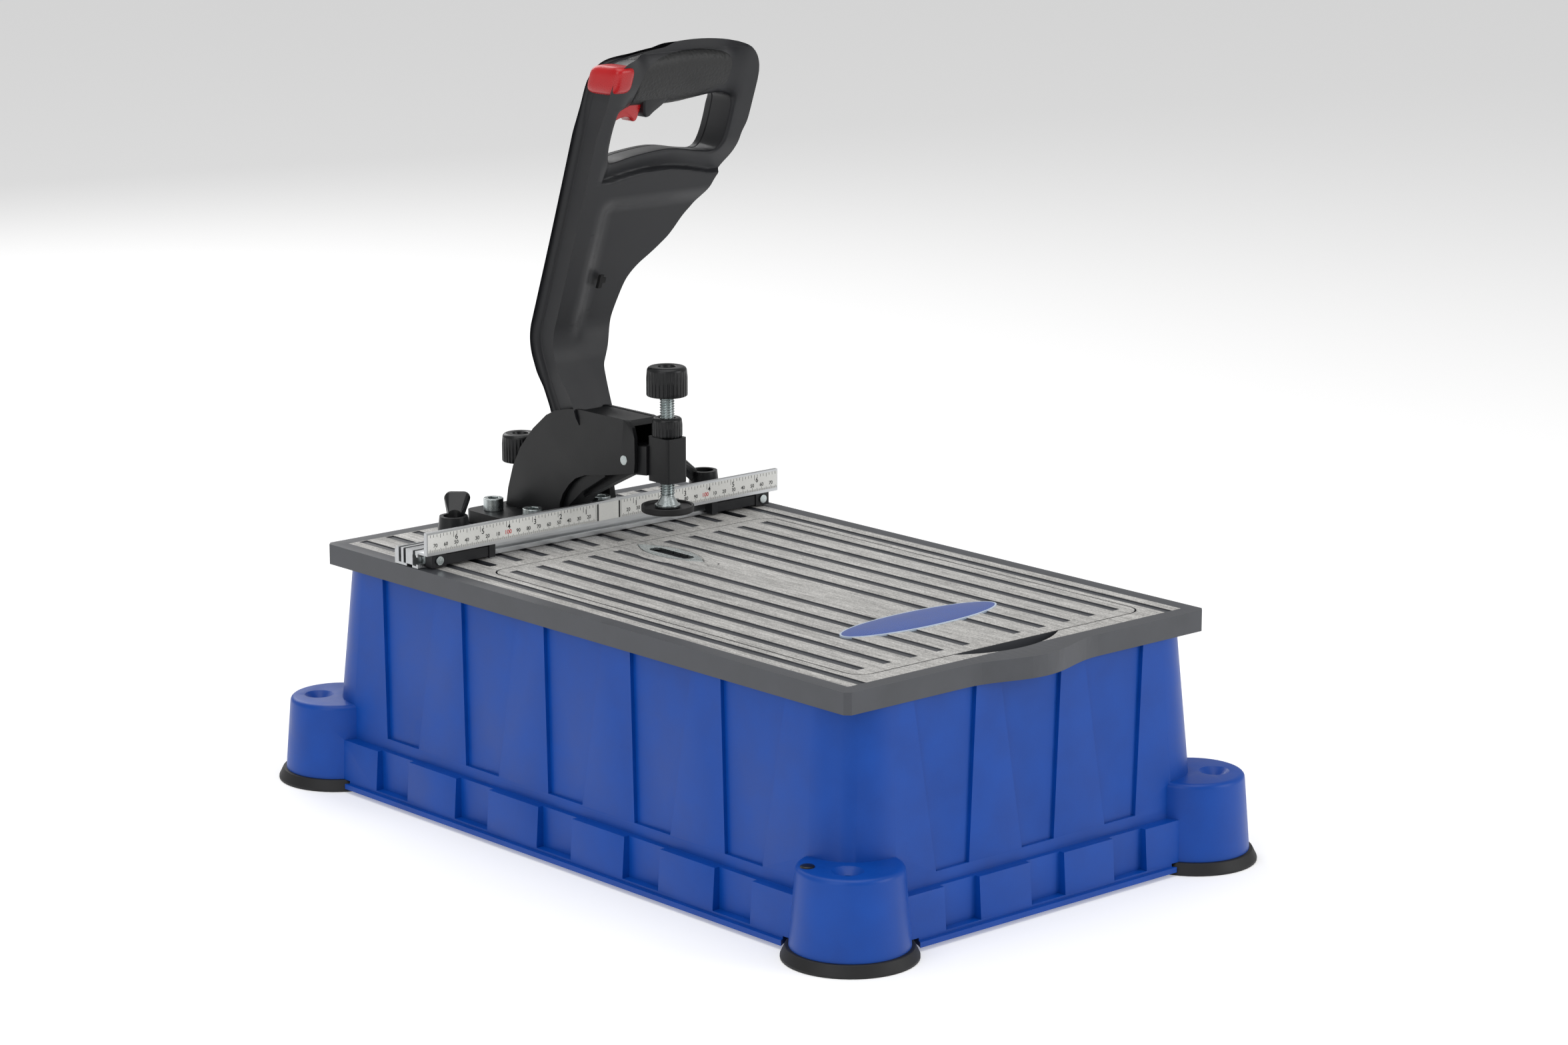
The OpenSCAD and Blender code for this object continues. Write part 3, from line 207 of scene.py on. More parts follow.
# %% Metals
powder_coat = grained("black powder-coated steel", "#0b0c0e", "#121315", 0.40, 1.1, 0.05, ior=1.40)
zinc_plate = grained("zinc-plated steel", "#a9b3b3", "#c9cfcf", 0.28, 0.8, 0.02, metallic=1.0, mottle_mm=4.0)
anodised = grained("satin anodised aluminium", "#b5b7b9", "#c8cacb", 0.33, 0.35, 0.012, metallic=1.0,
                   stretch=(0.05, 1, 1), mottle_mm=6.0)
ground_steel = grained("ground steel", "#8f9295", "#a9acae", 0.3, 0.3, 0.012, metallic=1.0, stretch=(1, 0.1, 1))
cast_alloy = grained("die-cast aluminium alloy", "#84878a", "#979a9c", 0.5, 1.2, 0.08, metallic=1.0)
bronze = grained("sintered bronze", "#8a6a3c", "#a27f4a", 0.42, 0.5, 0.03, metallic=1.0)
winding_copper = grained("enamelled copper winding", "#8b4c2c", "#a65f36", 0.35, 0.6, 0.1, metallic=1.0,
                         stretch=(1, 0.08, 1))
print("metals made")

# %% [markdown]
# ## The table's composite
# The table is a filled plastic, dark where it is as moulded, and rubbed pale and speckled on
# top of each strip where boards slide over it. Height separates the two: a strip's top is at
# the table's full height, and a groove's floor is a millimetre lower. Long noise along the
# strips gives the sanding marks, and fine noise gives the speckle of the filler.

# %% Composite with rubbed strips
table_top_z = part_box("table_frame")[1].z
table_low, table_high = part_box("table_frame")
strip_edge = min(table_high.x, -table_low.x) - 12.5 * MM


def table_composite():
    """Dark composite that turns pale and speckled where it is a strip's top inside the plain rim."""
    material = grained("rubbed mineral-filled composite", "#3d3f43", "#484a4f", 0.42, 0.5, 0.04)
    tree = material.node_tree
    shader = tree.nodes["Principled BSDF"]
    moulded = shader.inputs["Base Color"].links[0].from_socket
    where = add(tree, "ShaderNodeTexCoord").outputs["Object"]
    place = add(tree, "ShaderNodeSeparateXYZ", {0: where})
    on_top = add(tree, "ShaderNodeMath", {0: place.outputs["Z"], 1: table_top_z - 0.25 * MM},
                 operation="GREATER_THAN")
    across = add(tree, "ShaderNodeMath", {0: place.outputs["X"]}, operation="ABSOLUTE")
    inside = add(tree, "ShaderNodeMath", {0: across.outputs[0], 1: strip_edge}, operation="LESS_THAN")
    before = add(tree, "ShaderNodeMath", {0: place.outputs["Y"], 1: table_high.y - 12.5 * MM}, operation="LESS_THAN")
    behind = add(tree, "ShaderNodeMath", {0: place.outputs["Y"], 1: -288 * MM}, operation="GREATER_THAN")
    mask = on_top.outputs[0]
    for limit in (inside, before, behind):
        mask = add(tree, "ShaderNodeMath", {0: mask, 1: limit.outputs[0]}, operation="MULTIPLY").outputs[0]
    long_marks = add(tree, "ShaderNodeMapping", {"Vector": where, "Scale": (1.0, 0.07, 1.0)}).outputs["Vector"]
    marks = add(tree, "ShaderNodeTexNoise", {"Vector": long_marks, "Scale": 420.0, "Detail": 5.0, "Roughness": 0.7})
    speckle = add(tree, "ShaderNodeTexNoise", {"Vector": where, "Scale": 700.0, "Detail": 3.0, "Roughness": 0.8})
    tone = add(tree, "ShaderNodeMath", {0: speckle.outputs["Fac"], 1: 0.55}, operation="MULTIPLY")
    tone = add(tree, "ShaderNodeMath", {0: marks.outputs["Fac"], 1: 0.45, 2: tone.outputs[0]},
               operation="MULTIPLY_ADD")
    pale = add(tree, "ShaderNodeValToRGB", {"Fac": tone.outputs[0]})
    pale.color_ramp.elements[0].position, pale.color_ramp.elements[0].color = 0.34, linear("#656462")
    pale.color_ramp.elements[1].position, pale.color_ramp.elements[1].color = 0.66, linear("#e0deda")
    paint = add(tree, "ShaderNodeMix", data_type="RGBA")
    tree.links.new(mask, paint.inputs[0])
    tree.links.new(moulded, paint.inputs[6])
    tree.links.new(pale.outputs["Color"], paint.inputs[7])
    tree.links.new(paint.outputs[2], shader.inputs["Base Color"])
    return material


composite = table_composite()
print("table top height, mm:", round(table_top_z / MM, 2))

# %% [markdown]
# ## Softened CAD parts
# No real edge is perfectly sharp: a moulded one has a radius of a millimetre or two, a sheared
# or machined one a tenth of that. A copy of the CAD mesh is merged, its flat triangles are
# joined to whole faces, and a Bevel modifier rounds each edge. The copy stands for its node.


# %% Rounded copies
holed_plates = ("table_frame", "access_lid", "drill_insert", "lever_head")  # faces with holes stay triangles


def rounded(node, radius_mm, material, segments=3, sharp_deg=28):
    """A merged copy of a CAD node, whose edges over sharp_deg get a round bevel of the given radius."""
    mesh = bpy.data.meshes.new(node + "_finished")
    shape = bmesh.new()
    shape.from_mesh(nodes[node].data)
    bmesh.ops.remove_doubles(shape, verts=shape.verts, dist=0.002 * MM)
    if node not in holed_plates:
        bmesh.ops.dissolve_limit(shape, angle_limit=math.radians(0.6), verts=shape.verts, edges=shape.edges)
    shape.to_mesh(mesh)
    shape.free()
    mesh.materials.clear()
    mesh.materials.append(material)
    mesh.shade_smooth()
    mesh.set_sharp_from_angle(angle=math.radians(sharp_deg))
    obj = bpy.data.objects.new(node + "_finished", mesh)
    bpy.context.scene.collection.objects.link(obj)
    bevel = obj.modifiers.new("rounded edges", "BEVEL")
    bevel.width = radius_mm * MM
    bevel.segments = segments
    bevel.limit_method = "ANGLE"
    bevel.angle_limit = math.radians(sharp_deg)
    bevel.harden_normals = True
    bevel.miter_outer = "MITER_ARC"
    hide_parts(node)
    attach(obj, body_of_node[node])
    return obj


plain_parts = {
    "base_tub": (1.6, blue_polypropylene), "rubber_feet": (0.7, foot_rubber),
    "bottom_plate": (0.5, powder_coat), "power_inlet": (0.6, black_nylon),
    "table_frame": (0.45, composite), "access_lid": (0.45, composite),
    "table_screws": (0.3, zinc_plate), "lid_hinge_pins": (0.3, zinc_plate),
    "drill_insert": (0.25, zinc_plate), "fence_extrusion": (0.25, anodised),
    "fence_bolts": (0.4, zinc_plate), "wing_knob_left": (1.6, knob_black), "wing_knob_right": (1.6, knob_black),
    "stop_left": (0.5, black_nylon), "stop_right": (0.5, black_nylon),
    "stop_screw_left": (0.3, zinc_plate), "stop_screw_right": (0.3, zinc_plate),
    "pedestal": (1.2, powder_coat), "cap_screws": (0.5, zinc_plate), "pedestal_nuts": (0.4, zinc_plate),
    "pivot_pin": (0.5, zinc_plate), "link_top_pin": (0.5, zinc_plate), "stop_rod": (0.4, zinc_plate),
    "lever_head": (0.35, powder_coat), "clamp_arm": (1.0, powder_coat),
    "swivel_cone": (0.5, zinc_plate), "rubber_pad": (0.6, foot_rubber),
    "trigger_pin": (0.2, zinc_plate),
    "handle_switch": (0.6, case_plastic), "handle_screws": (0.2, zinc_plate),
    "drive_link": (0.5, ground_steel), "bell_crank": (0.5, ground_steel), "link_bottom_pin": (0.4, zinc_plate),
    "crank_roller": (0.4, bronze), "crank_pin": (0.4, zinc_plate), "crank_bracket": (0.5, powder_coat),
    "guide_rods": (0.4, ground_steel), "rod_bracket_front": (0.8, powder_coat),
    "rod_bracket_rear": (0.8, powder_coat), "carriage": (1.0, cast_alloy), "push_arm": (0.6, ground_steel),
    "rod_bushings": (0.3, bronze), "motor_housing": (0.8, case_plastic), "motor_end_cap": (0.8, case_plastic),
    "motor_armature": (0.4, winding_copper), "gearbox_case": (0.8, cast_alloy), "chuck": (0.5, ground_steel),
}
finished = {}
for part, (radius, finish) in plain_parts.items():
    finished[part] = rounded(part, radius, finish)
print("softened parts:", len(finished))

# %% [markdown]
# ## Surfaces on a grid
# New pieces are parametric surfaces: a function of two parameters gives a grid of points, and
# the grid's cells become four-sided faces. Two small helpers join the grid and put it in place.


# %% Grid helpers
def grid_faces(rows, columns, close_columns=True):
    """Faces of a grid of points: each cell joins a point to its right and upper neighbours; closed grids wrap."""
    steps = columns if close_columns else columns - 1
    row, column = np.meshgrid(np.arange(rows - 1), np.arange(steps), indexing="ij")
    after = (column + 1) % columns
    corners = (row * columns + column, row * columns + after, (row + 1) * columns + after, (row + 1) * columns + column)
    return np.stack(corners, -1).reshape(-1, 4).tolist()


def placed(name, points, faces, material, body, slot, sharp_deg=35):
    """A mesh object in metres from points in millimetres, whose loose doubles are merged and faces turned outwards."""
    mesh = bpy.data.meshes.new(name)
    shape = bmesh.new()
    corners = [shape.verts.new(p) for p in (np.asarray(points, float) * MM).tolist()]
    for face in faces:
        if len({*face}) == len(face):
            shape.faces.new([corners[i] for i in face])
    bmesh.ops.remove_doubles(shape, verts=shape.verts, dist=0.001 * MM)
    bmesh.ops.recalc_face_normals(shape, faces=shape.faces)
    shape.to_mesh(mesh)
    shape.free()
    mesh.materials.append(material)
    mesh.shade_smooth()
    mesh.set_sharp_from_angle(angle=math.radians(sharp_deg))
    obj = bpy.data.objects.new(name, mesh)
    bpy.context.scene.collection.objects.link(obj)
    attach(obj, body)
    return obj


def capped(grid):
    """Points and faces of a closed tube: the grid of rings, and a fan from each end ring to its middle."""
    rows, columns = grid.shape[:2]
    points = np.concatenate([grid.reshape(-1, 3), grid[:1].mean(1), grid[-1:].mean(1)])
    faces = grid_faces(rows, columns)
    first, last = rows * columns, rows * columns + 1
    faces += [[(i + 1) % columns, i, first] for i in range(columns)]
    faces += [[(rows - 1) * columns + i, (rows - 1) * columns + (i + 1) % columns, last] for i in range(columns)]
    return points, faces


print("a 3 by 4 closed grid has", len(grid_faces(3, 4)), "faces")

# %% [markdown]
# ## The handle
# The handle is two moulded shells, screwed together along a seam. Seen from the front it is a
# D with a long bent stem. Its outline is a smooth curve through a few points; the front shell
# is that outline, rounded over from its wall to its face, and the face is then pressed in
# under the grip, where the palm's heel goes. The stem leans back to a bend and then forward.

# %% Handle outline
pin_low, pin_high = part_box("pivot_pin")
pin_y = (pin_low.y + pin_high.y) / 2 / MM
pin_z = (pin_low.z + pin_high.z) / 2 / MM
FACE = -26.0    # depth of the front face from the seam
BACK = 8.0      # depth of the back face from the seam


def seam_y(z):
    """The seam's place at height z above the pivot: a slope back, a rounded bend, and a slope forward."""
    bend = z - 66
    return pin_y + np.where(z < 66, 72 + 0.4045 * z,
                            np.where(z < 96, 98.7 + 0.4045 * bend - 0.0129 * bend ** 2, 99.2 - 0.3695 * (z - 96)))


def smooth_loop(points, steps=4):
    """A closed curve through points: on each span, the cubic whose slope at a point is half the step past it."""
    p = np.asarray(points, float)
    t = (np.arange(steps) / steps)[None, :, None]
    p0, p1, p2, p3 = (np.roll(p, k, axis=0)[:, None, :] for k in (1, 0, -1, -2))
    curve = 0.5 * (2 * p1 + (p2 - p0) * t + (2 * p0 - 5 * p1 + 4 * p2 - p3) * t ** 2
                   + (3 * p1 - p0 - 3 * p2 + p3) * t ** 3)
    return curve.reshape(-1, 2)


def even(loop, count):
    """The same closed curve with count points at equal steps of its length."""
    closed = np.vstack([loop, loop[:1]])
    length = np.concatenate([[0], np.cumsum(np.linalg.norm(np.diff(closed, axis=0), axis=1))])
    at = np.linspace(0, length[-1], count, endpoint=False)
    return np.stack([np.interp(at, length, closed[:, k]) for k in (0, 1)], 1)


def inward(loop):
    """Unit normals to the left of travel, from the step between each point's two neighbours."""
    step = np.roll(loop, -1, axis=0) - np.roll(loop, 1, axis=0)
    normal = np.stack([-step[:, 1], step[:, 0]], 1)
    return normal / np.linalg.norm(normal, axis=1, keepdims=True)


grip_outline = even(smooth_loop([
    (-10, 23), (-12, 25), (-12, 30), (-14, 60), (-14.5, 110), (-15, 160), (-16, 210), (-17, 250), (-18, 283),
    (-15, 296), (-6, 304), (18, 310), (50, 313), (80, 312), (104, 307), (117, 294), (119, 270), (118, 232),
    (112, 219), (104, 209), (96, 192), (82, 176), (62, 157), (46, 144), (36, 130), (31, 110), (28, 92), (22, 76),
    (15, 64), (13, 50), (12, 30), (12, 25), (10, 23)]), 360)[::-1]
window_outline = even(smooth_loop([
    (-9, 236), (-9, 262), (-3, 270), (30, 270), (60, 271), (90, 275), (104, 273), (107, 262), (107, 240), (102, 229),
    (88, 229), (54, 234), (20, 231), (-2, 227)]), 160)
print("handle is", round(np.ptp(grip_outline[:, 0]), 1), "mm wide and", round(np.ptp(grip_outline[:, 1]), 1), "mm tall")


# %% Handle shells
def ramp(value, low, high):
    """0 below low, 1 above high, and 3t^2 - 2t^3 in between."""
    t = np.clip((value - low) / (high - low), 0, 1)
    return t * t * (3 - 2 * t)


def wall_loops(outline, radius, depth_from, depth_to, steps=7):
    """Loops from the seam up the wall and over the edge: the edge is a quarter circle of the given radius."""
    side = math.copysign(1.0, depth_to - depth_from)
    normal = inward(outline)
    radius = np.broadcast_to(radius, len(outline))[:, None]
    turn = np.linspace(0, math.pi / 2, steps)
    loops = [(outline + 0.7 * normal, np.full(len(outline), depth_from)),
             (outline, np.full(len(outline), depth_from + 0.8 * side))]
    for a in turn:
        loops.append((outline + normal * radius * (1 - math.cos(a)),
                      (depth_to - side * radius * (1 - math.sin(a)))[:, 0]))
    return loops


def press(x, z, depth):
    """How far a face is pressed in: a crescent scoop under the window, a set-back web beside the stem's raised left
    column, and an oval rounding of the top bar, which the back face has too."""
    low = 211 + 8 * np.sin(np.clip((x + 10) / 112, 0, 1) * math.pi)
    scoop = 5.5 * ramp(z, low - 2.5, low + 2) * (1 - ramp(z, low + 2, 238)) * ramp(x, -11, -3)
    web = 6.5 * ramp(x, -4, 9) * ramp(z, 72, 100) * (1 - ramp(z, 184, 200))
    off_middle = np.clip(np.abs(z - 292) / 20, 0, 1)
    bar = ramp(z, 262, 272) * ramp(x, -8, 12) * (1 - ramp(x, 92, 112)) * (2.0 + 8.0 * off_middle ** 2.2)
    front = (scoop + web + bar) * np.clip(depth / FACE, 0, 1)
    back = -0.8 * bar * np.clip(depth / BACK, 0, 1)
    return front + back


def edge_radius(outline):
    """9 mm on the stem's wide edges, and 5 mm beside the window, where the posts are narrow."""
    return 9.0 - 4.5 * ramp(outline[:, 1], 200, 226) + 3.0 * ramp(outline[:, 1], 292, 304) - 3.5 * (1 - ramp(
        outline[:, 1], 24, 40))


def handle_shell(name, depth_to, radius_share, replaced):
    """Walls from the loops, and faces at seam and front cut from the outline less the window."""
    shape = bmesh.new()
    rims, seams = [], []
    for outline, radius in ((grip_outline, edge_radius(grip_outline)), (window_outline[::-1], 3.2 + 0 * window_outline[:, 0])):
        outline = outline[::-1]
        previous = None
        for flat, depth in wall_loops(outline, radius * radius_share, 0.0, depth_to):
            ring = [shape.verts.new((x, d, z)) for (x, z), d in zip(flat.tolist(), depth.tolist())]
            if previous is not None:
                for i in range(len(ring)):
                    j = (i + 1) % len(ring)
                    shape.faces.new((previous[i], previous[j], ring[j], ring[i]))
            else:
                seams.append(ring)
            previous = ring
        rims.append(previous)
    for rings in (seams, rims):
        flat = [[Vector((v.co.x, v.co.z, 0)) for v in ring] for ring in rings]
        every = [v for ring in rings for v in ring]
        for triangle in tessellate_polygon(flat):
            if len(set(triangle)) == 3:
                shape.faces.new([every[i] for i in triangle])
    for low, high, axis in ((-20, 120, 0), (20, 316, 2)):
        for place in np.arange(low, high, 5.0):
            point, normal = [0, 0, 0], [0, 0, 0]
            point[axis], normal[axis] = place, 1
            bmesh.ops.bisect_plane(shape, geom=shape.verts[:] + shape.edges[:] + shape.faces[:], dist=1e-4,
                                   plane_co=point, plane_no=normal)
    bmesh.ops.triangulate(shape, faces=[f for f in shape.faces if len(f.verts) > 4])
    bmesh.ops.recalc_face_normals(shape, faces=shape.faces)
    mesh = bpy.data.meshes.new(name)
    shape.to_mesh(mesh)
    shape.free()
    at = np.zeros(len(mesh.vertices) * 3)
    mesh.vertices.foreach_get("co", at)
    x, depth, z = at.reshape(-1, 3).T
    y = seam_y(z) + depth + press(x, z, depth)
    mesh.vertices.foreach_set("co", (np.stack([x, y, z + pin_z], 1) * MM).ravel())
    mesh.materials.append(black_nylon)
    mesh.shade_smooth()
    mesh.set_sharp_from_angle(angle=math.radians(38))
    obj = bpy.data.objects.new(name, mesh)
    bpy.context.scene.collection.objects.link(obj)
    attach(obj, "lever")
    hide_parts(replaced)
    return obj


front_shell = handle_shell("handle_front", FACE, 1.0, "handle_front_shell")
back_shell = handle_shell("handle_back", BACK, 0.6, "handle_back_shell")
print("handle faces:", len(front_shell.data.polygons), len(back_shell.data.polygons))

# %% [markdown]
# ## Grip sleeve
# A soft overmould wraps the top bar. Its section is a squarish oval that follows the bar's own
# height, and it swells a little at its ends. A pebbled skin, about two millimetres to a pebble,
# keeps the hand from slipping, so the sleeve gets real relief from a cell pattern.

# %% Pebbled elastomer
grip_skin = grained("pebbled thermoplastic elastomer", "#0a0b0b", "#121314", 0.50, 0.6, 0.03)
skin_tree = grip_skin.node_tree
skin_place = add(skin_tree, "ShaderNodeTexCoord").outputs["Object"]
pebbles = add(skin_tree, "ShaderNodeTexVoronoi", {"Vector": skin_place, "Scale": 1 / (2.1 * MM)}, feature="SMOOTH_F1")
pebble_relief = add(skin_tree, "ShaderNodeBump", {"Height": pebbles.outputs["Distance"], "Distance": 0.35 * MM,
                                                  "Strength": 0.9}, invert=True)
skin_tree.links.new(pebble_relief.outputs["Normal"], skin_tree.nodes["Principled BSDF"].inputs["Normal"])
print("pebbles are 2.1 mm apart")


# %% Sleeve surface
def edge_height(outline, x, upper):
    """Height of an outline above or below the grip's middle at each x, by straight steps between its points."""
    part = outline[(outline[:, 1] > 288) if upper else ((outline[:, 1] > 250) & (outline[:, 1] < 280))]
    part = part[np.argsort(part[:, 0])]
    return np.interp(x, part[:, 0], part[:, 1])


along = np.linspace(5, 103, 90)[:, None]
around = (np.arange(72) / 72 * 2 * math.pi)[None, :]
bar_top, bar_low = edge_height(grip_outline, along, True), edge_height(window_outline, along, False)
middle, half_tall = (bar_top + bar_low) / 2, (bar_top - bar_low) / 2
end = np.clip(np.minimum(along - 5, 103 - along) / 2.5, 0, 1)
proud = 0.75 * np.sqrt(1 - (1 - end) ** 2) - 0.35 * (1 - end)
squareness = 2 / 2.5
up = np.sign(np.sin(around)) * np.abs(np.sin(around)) ** squareness
out = np.sign(np.cos(around)) * np.abs(np.cos(around)) ** squareness
sleeve_z = middle + up * (half_tall + proud)
sleeve_y = seam_y(middle) - 0.3695 * (sleeve_z - middle) + (FACE + BACK + 2.4) / 2 + out * ((BACK - FACE - 2.4) / 2 + proud)
sleeve_grid = np.stack(np.broadcast_arrays(along, sleeve_y, sleeve_z + pin_z), -1)
sleeve = placed("grip_overmould", *capped(sleeve_grid), grip_skin, "lever", "soft_grip", 60)
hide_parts("grip_sleeve")
print("sleeve length, mm:", 98)

# %% [markdown]
# ## Clamp screw
# The clamp's screw has a rolled thread. Its surface is a tube whose radius falls and rises as a
# triangle wave along a helix, once each pitch. It runs out to a plain turned neck at the foot.


# %% Thread
def threaded(name, centre, low, high, radius, pitch, depth, material, body, slot):
    """Tube along Z: radius less depth times a triangle wave of (height / pitch - turn), with plain chamfered ends."""
    turn = np.linspace(0, 2 * math.pi, 48, endpoint=False)[None, :]
    height = np.arange(low, high, pitch / 10)[:, None]
    phase = (height / pitch - turn / (2 * math.pi)) % 1.0
    groove = np.clip(np.abs(phase - 0.5) * 2.6 - 0.15, 0, 1)
    fade = ramp(height, low, low + pitch) * (1 - ramp(height, high - pitch, high))
    r = radius - depth * groove * fade - 0.8 * (1 - fade)
    grid = np.stack(np.broadcast_arrays(centre[0] + r * np.cos(turn), centre[1] + r * np.sin(turn), height), -1)
    return placed(name, *capped(grid), material, body, slot, 50)


screw_low, screw_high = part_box("clamp_screw")
screw_y = (screw_low.y + screw_high.y) / 2 / MM
screw_r = (screw_high.y - screw_low.y) / 2 / MM
screw = threaded("clamp_screw_threaded", (0, screw_y), screw_low.z / MM + 2.6, screw_high.z / MM, screw_r, 2.0, 1.0,
                 zinc_plate, "clamp_spindle", "zinc_steel")
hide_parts("clamp_screw")
neck = threaded("clamp_screw_neck", (0, screw_y), screw_low.z / MM, screw_low.z / MM + 5, 2.9, 2.5, 0.0,
                zinc_plate, "clamp_spindle", "zinc_steel")
print("thread pitch 2 mm, length, mm:", round((screw_high.z - screw_low.z) / MM, 1))

# %% [markdown]
# ## Ribbed knobs
# Three hand knobs are moulded with fine upright ribs for the fingers, under a smooth rounded
# cap with a dimple. A knob is a turned profile: the radius at each height is a rounded
# barrel, and on the lower part it also rises and falls with the angle, once for each rib.


# %% Knobs
def ribbed_knob(node, ribs, rib_depth, rib_share, dimple_share, bore):
    """Turned profile from the node's own box: foot, ribbed barrel, rounded cap and dimple, closed down its bore."""
    low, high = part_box(node)
    x, y = (low.x + high.x) / 2 / MM, (low.y + high.y) / 2 / MM
    radius, foot, tall = (high.x - low.x) / 2 / MM, low.z / MM, (high.z - low.z) / MM
    turn = np.linspace(0, 2 * math.pi, ribs * 8, endpoint=False)[None, :]
    bend = np.linspace(0, math.pi / 2, 10)
    round_r = 0.2 * radius
    profile_r = np.concatenate([[bore, radius - 1.2, radius - 0.3, radius], np.full(3, radius),
                                radius * 0.97 - round_r * (1 - np.cos(bend)),
                                radius * dimple_share + np.array([0.8, 0.2, 0, -0.4]), [0.05]])
    profile_z = np.concatenate([[0, 0, 0.4, 1.2], tall * rib_share * np.array([0.3, 0.7, 1.0]),
                                tall - round_r * (1 - np.sin(bend)),
                                tall - np.array([0.0, 0.3, 1.2, 2.2]), [tall - 2.4]])
    at_rib = (profile_z > 0.3) & (profile_z < tall * rib_share * 1.05)
    rib = 1 - np.clip(np.abs(np.cos(turn * ribs / 2)) * 3 - 1.2, 0, 1)
    r = profile_r[:, None] - rib_depth * rib * at_rib[:, None]
    grid = np.stack(np.broadcast_arrays(x + r * np.cos(turn), y + r * np.sin(turn), foot + profile_z[:, None]), -1)
    knob = placed(node + "_ribbed", *capped(grid), knob_black, body_of_node[node], "black_plastic", 45)
    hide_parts(node)
    return knob


ribbed_knob("clamp_knob", 30, 0.7, 0.62, 0.42, screw_r)
ribbed_knob("stop_knob", 30, 0.7, 0.62, 0.42, 4.0)
ribbed_knob("jam_nut", 26, 0.5, 0.6, 0.55, screw_r)
print("knobs made")

# %% [markdown]
# ## Lock button
# The red button is a rounded cap on the handle's top left corner, where the thumb reaches it.
# It is a superellipsoid: a sphere whose sines and cosines are raised to a power, so that it
# comes out squarer than a ball.

# %% Button surface
button_mid = np.array([-12.5, 0, 293.5])
button_half = np.array([10.5, 18.5, 11.5])
lean_back = np.linspace(-math.pi / 2, math.pi / 2, 32)[:, None]
turn = np.linspace(0, 2 * math.pi, 56, endpoint=False)[None, :]


def power(value, exponent):
    """Value to a power, with its sign kept."""
    return np.sign(value) * np.abs(value) ** exponent


ball = np.stack(np.broadcast_arrays(power(np.cos(lean_back), 0.5) * power(np.cos(turn), 0.5),
                                    power(np.cos(lean_back), 0.5) * power(np.sin(turn), 0.5),
                                    power(np.sin(lean_back), 0.5)), -1) * button_half + button_mid
ball[..., 1] += seam_y(ball[..., 2]) - 11
ball[..., 2] += pin_z
button = placed("lock_button_cap", *capped(ball), signal_red, "lock_button", "red_plastic", 60)
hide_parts("lock_button")
print("button reaches", round(float(ball[..., 0].min()), 1), "mm left of the middle")

# %% [markdown]
# ## Trigger
# The red trigger hangs where the stem meets the top bar, with a hollow for the finger. It is
# an outline drawn through its thickness, with its edges rounded in three small steps. A black
# guard in front of its tip is made in the same way, as part of the front shell.


# %% Trigger and guard
def slab(name, outline, front, back, edge, material, body, slot):
    """An outline in X and Z, thick from front to back measured from the seam, with rounded edges."""
    loop = even(smooth_loop(outline), 96)
    normal = inward(loop)
    turn = np.linspace(0, math.pi / 2, 4)
    inset = edge * np.concatenate([1 - np.sin(turn), (1 - np.sin(turn))[::-1]])
    depth = np.concatenate([front + edge * (1 - np.cos(turn)), (back - edge * (1 - np.cos(turn)))[::-1]])
    flat = loop[None] + normal[None] * inset[:, None, None]
    y = seam_y(flat[..., 1]) + depth[:, None]
    grid = np.stack([flat[..., 0], y, flat[..., 1] + pin_z], -1)
    obj = placed(name, *capped(grid), material, body, slot, 40)
    return obj


trigger = slab("trigger_lever", [(-11, 278), (-11, 256), (-4, 259.5), (2, 262), (8, 262.5), (12, 261), (15, 258.5),
                                 (18, 259), (19, 264), (18, 278)], -17, -3, 1.4, signal_red, "trigger", "red_plastic")
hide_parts("trigger")
guard = slab("trigger_guard", [(19.5, 278), (20, 267), (23, 262), (27, 261.5), (31, 265), (40, 272), (41, 278)],
             -21, -4, 1.6, black_nylon, "lever", "black_plastic")
print("trigger reaches down to", 258.5, "mm above the pivot")

# %% [markdown]
# ## Stepped drill
# A pocket-hole drill has two sizes: a thin pilot in front of a thick body, with two flutes that
# wind round it. The surface is a tube along the drill's axis. Its radius dips twice round the
# section, and the dips turn as they go along. The drill lies 15 degrees from the table.

# %% Drill surface
drill_low, drill_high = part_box("drill_bit")
spindle_joint = next(j for j in frame["record"]["behaviour"]["joints"] if j["name"] == "spindle_spin")
axis_y, axis_z = (v / MM for v in spindle_joint["pos_m"][1:])
lean = math.atan2(spindle_joint["axis"][2], spindle_joint["axis"][1])
tip_y = drill_high.y / MM - 0.1
tip_z = axis_z + (tip_y - axis_y) * math.tan(lean)
drill_length = (drill_high.y - drill_low.y) / MM / math.cos(lean)
station = np.concatenate([[0, 0.6, 2.0, 7.0, 11.5], np.arange(13, drill_length - 24, 0.8),
                          [drill_length - 22, drill_length - 2]])[:, None]
turn = np.linspace(0, 2 * math.pi, 60, endpoint=False)[None, :]
body_r = (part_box("drill_bit")[1].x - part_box("drill_bit")[0].x) / 2 / MM
drill_r = np.interp(station, [0, 2, 11.5, 13, 14], [0.3, 2.2, 2.2, 3.2, body_r])
flute = np.clip(np.abs(np.cos(turn - station * 2 * math.pi / 38)), 0, 1) ** 6 * ramp(drill_length - station, 60, 74)
drill_r = drill_r * (1 - 0.42 * flute)
across, lift = drill_r * np.cos(turn), drill_r * np.sin(turn)
drill_grid = np.stack(np.broadcast_arrays(across, tip_y - station * math.cos(lean) - lift * math.sin(lean),
                                          tip_z - station * math.sin(lean) + lift * math.cos(lean)), -1)
drill = placed("drill_fluted", *capped(drill_grid), ground_steel, "spindle", "steel", 40)
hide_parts("drill_bit")
print("drill length, mm:", round(drill_length, 1), "radius:", round(body_r, 2))

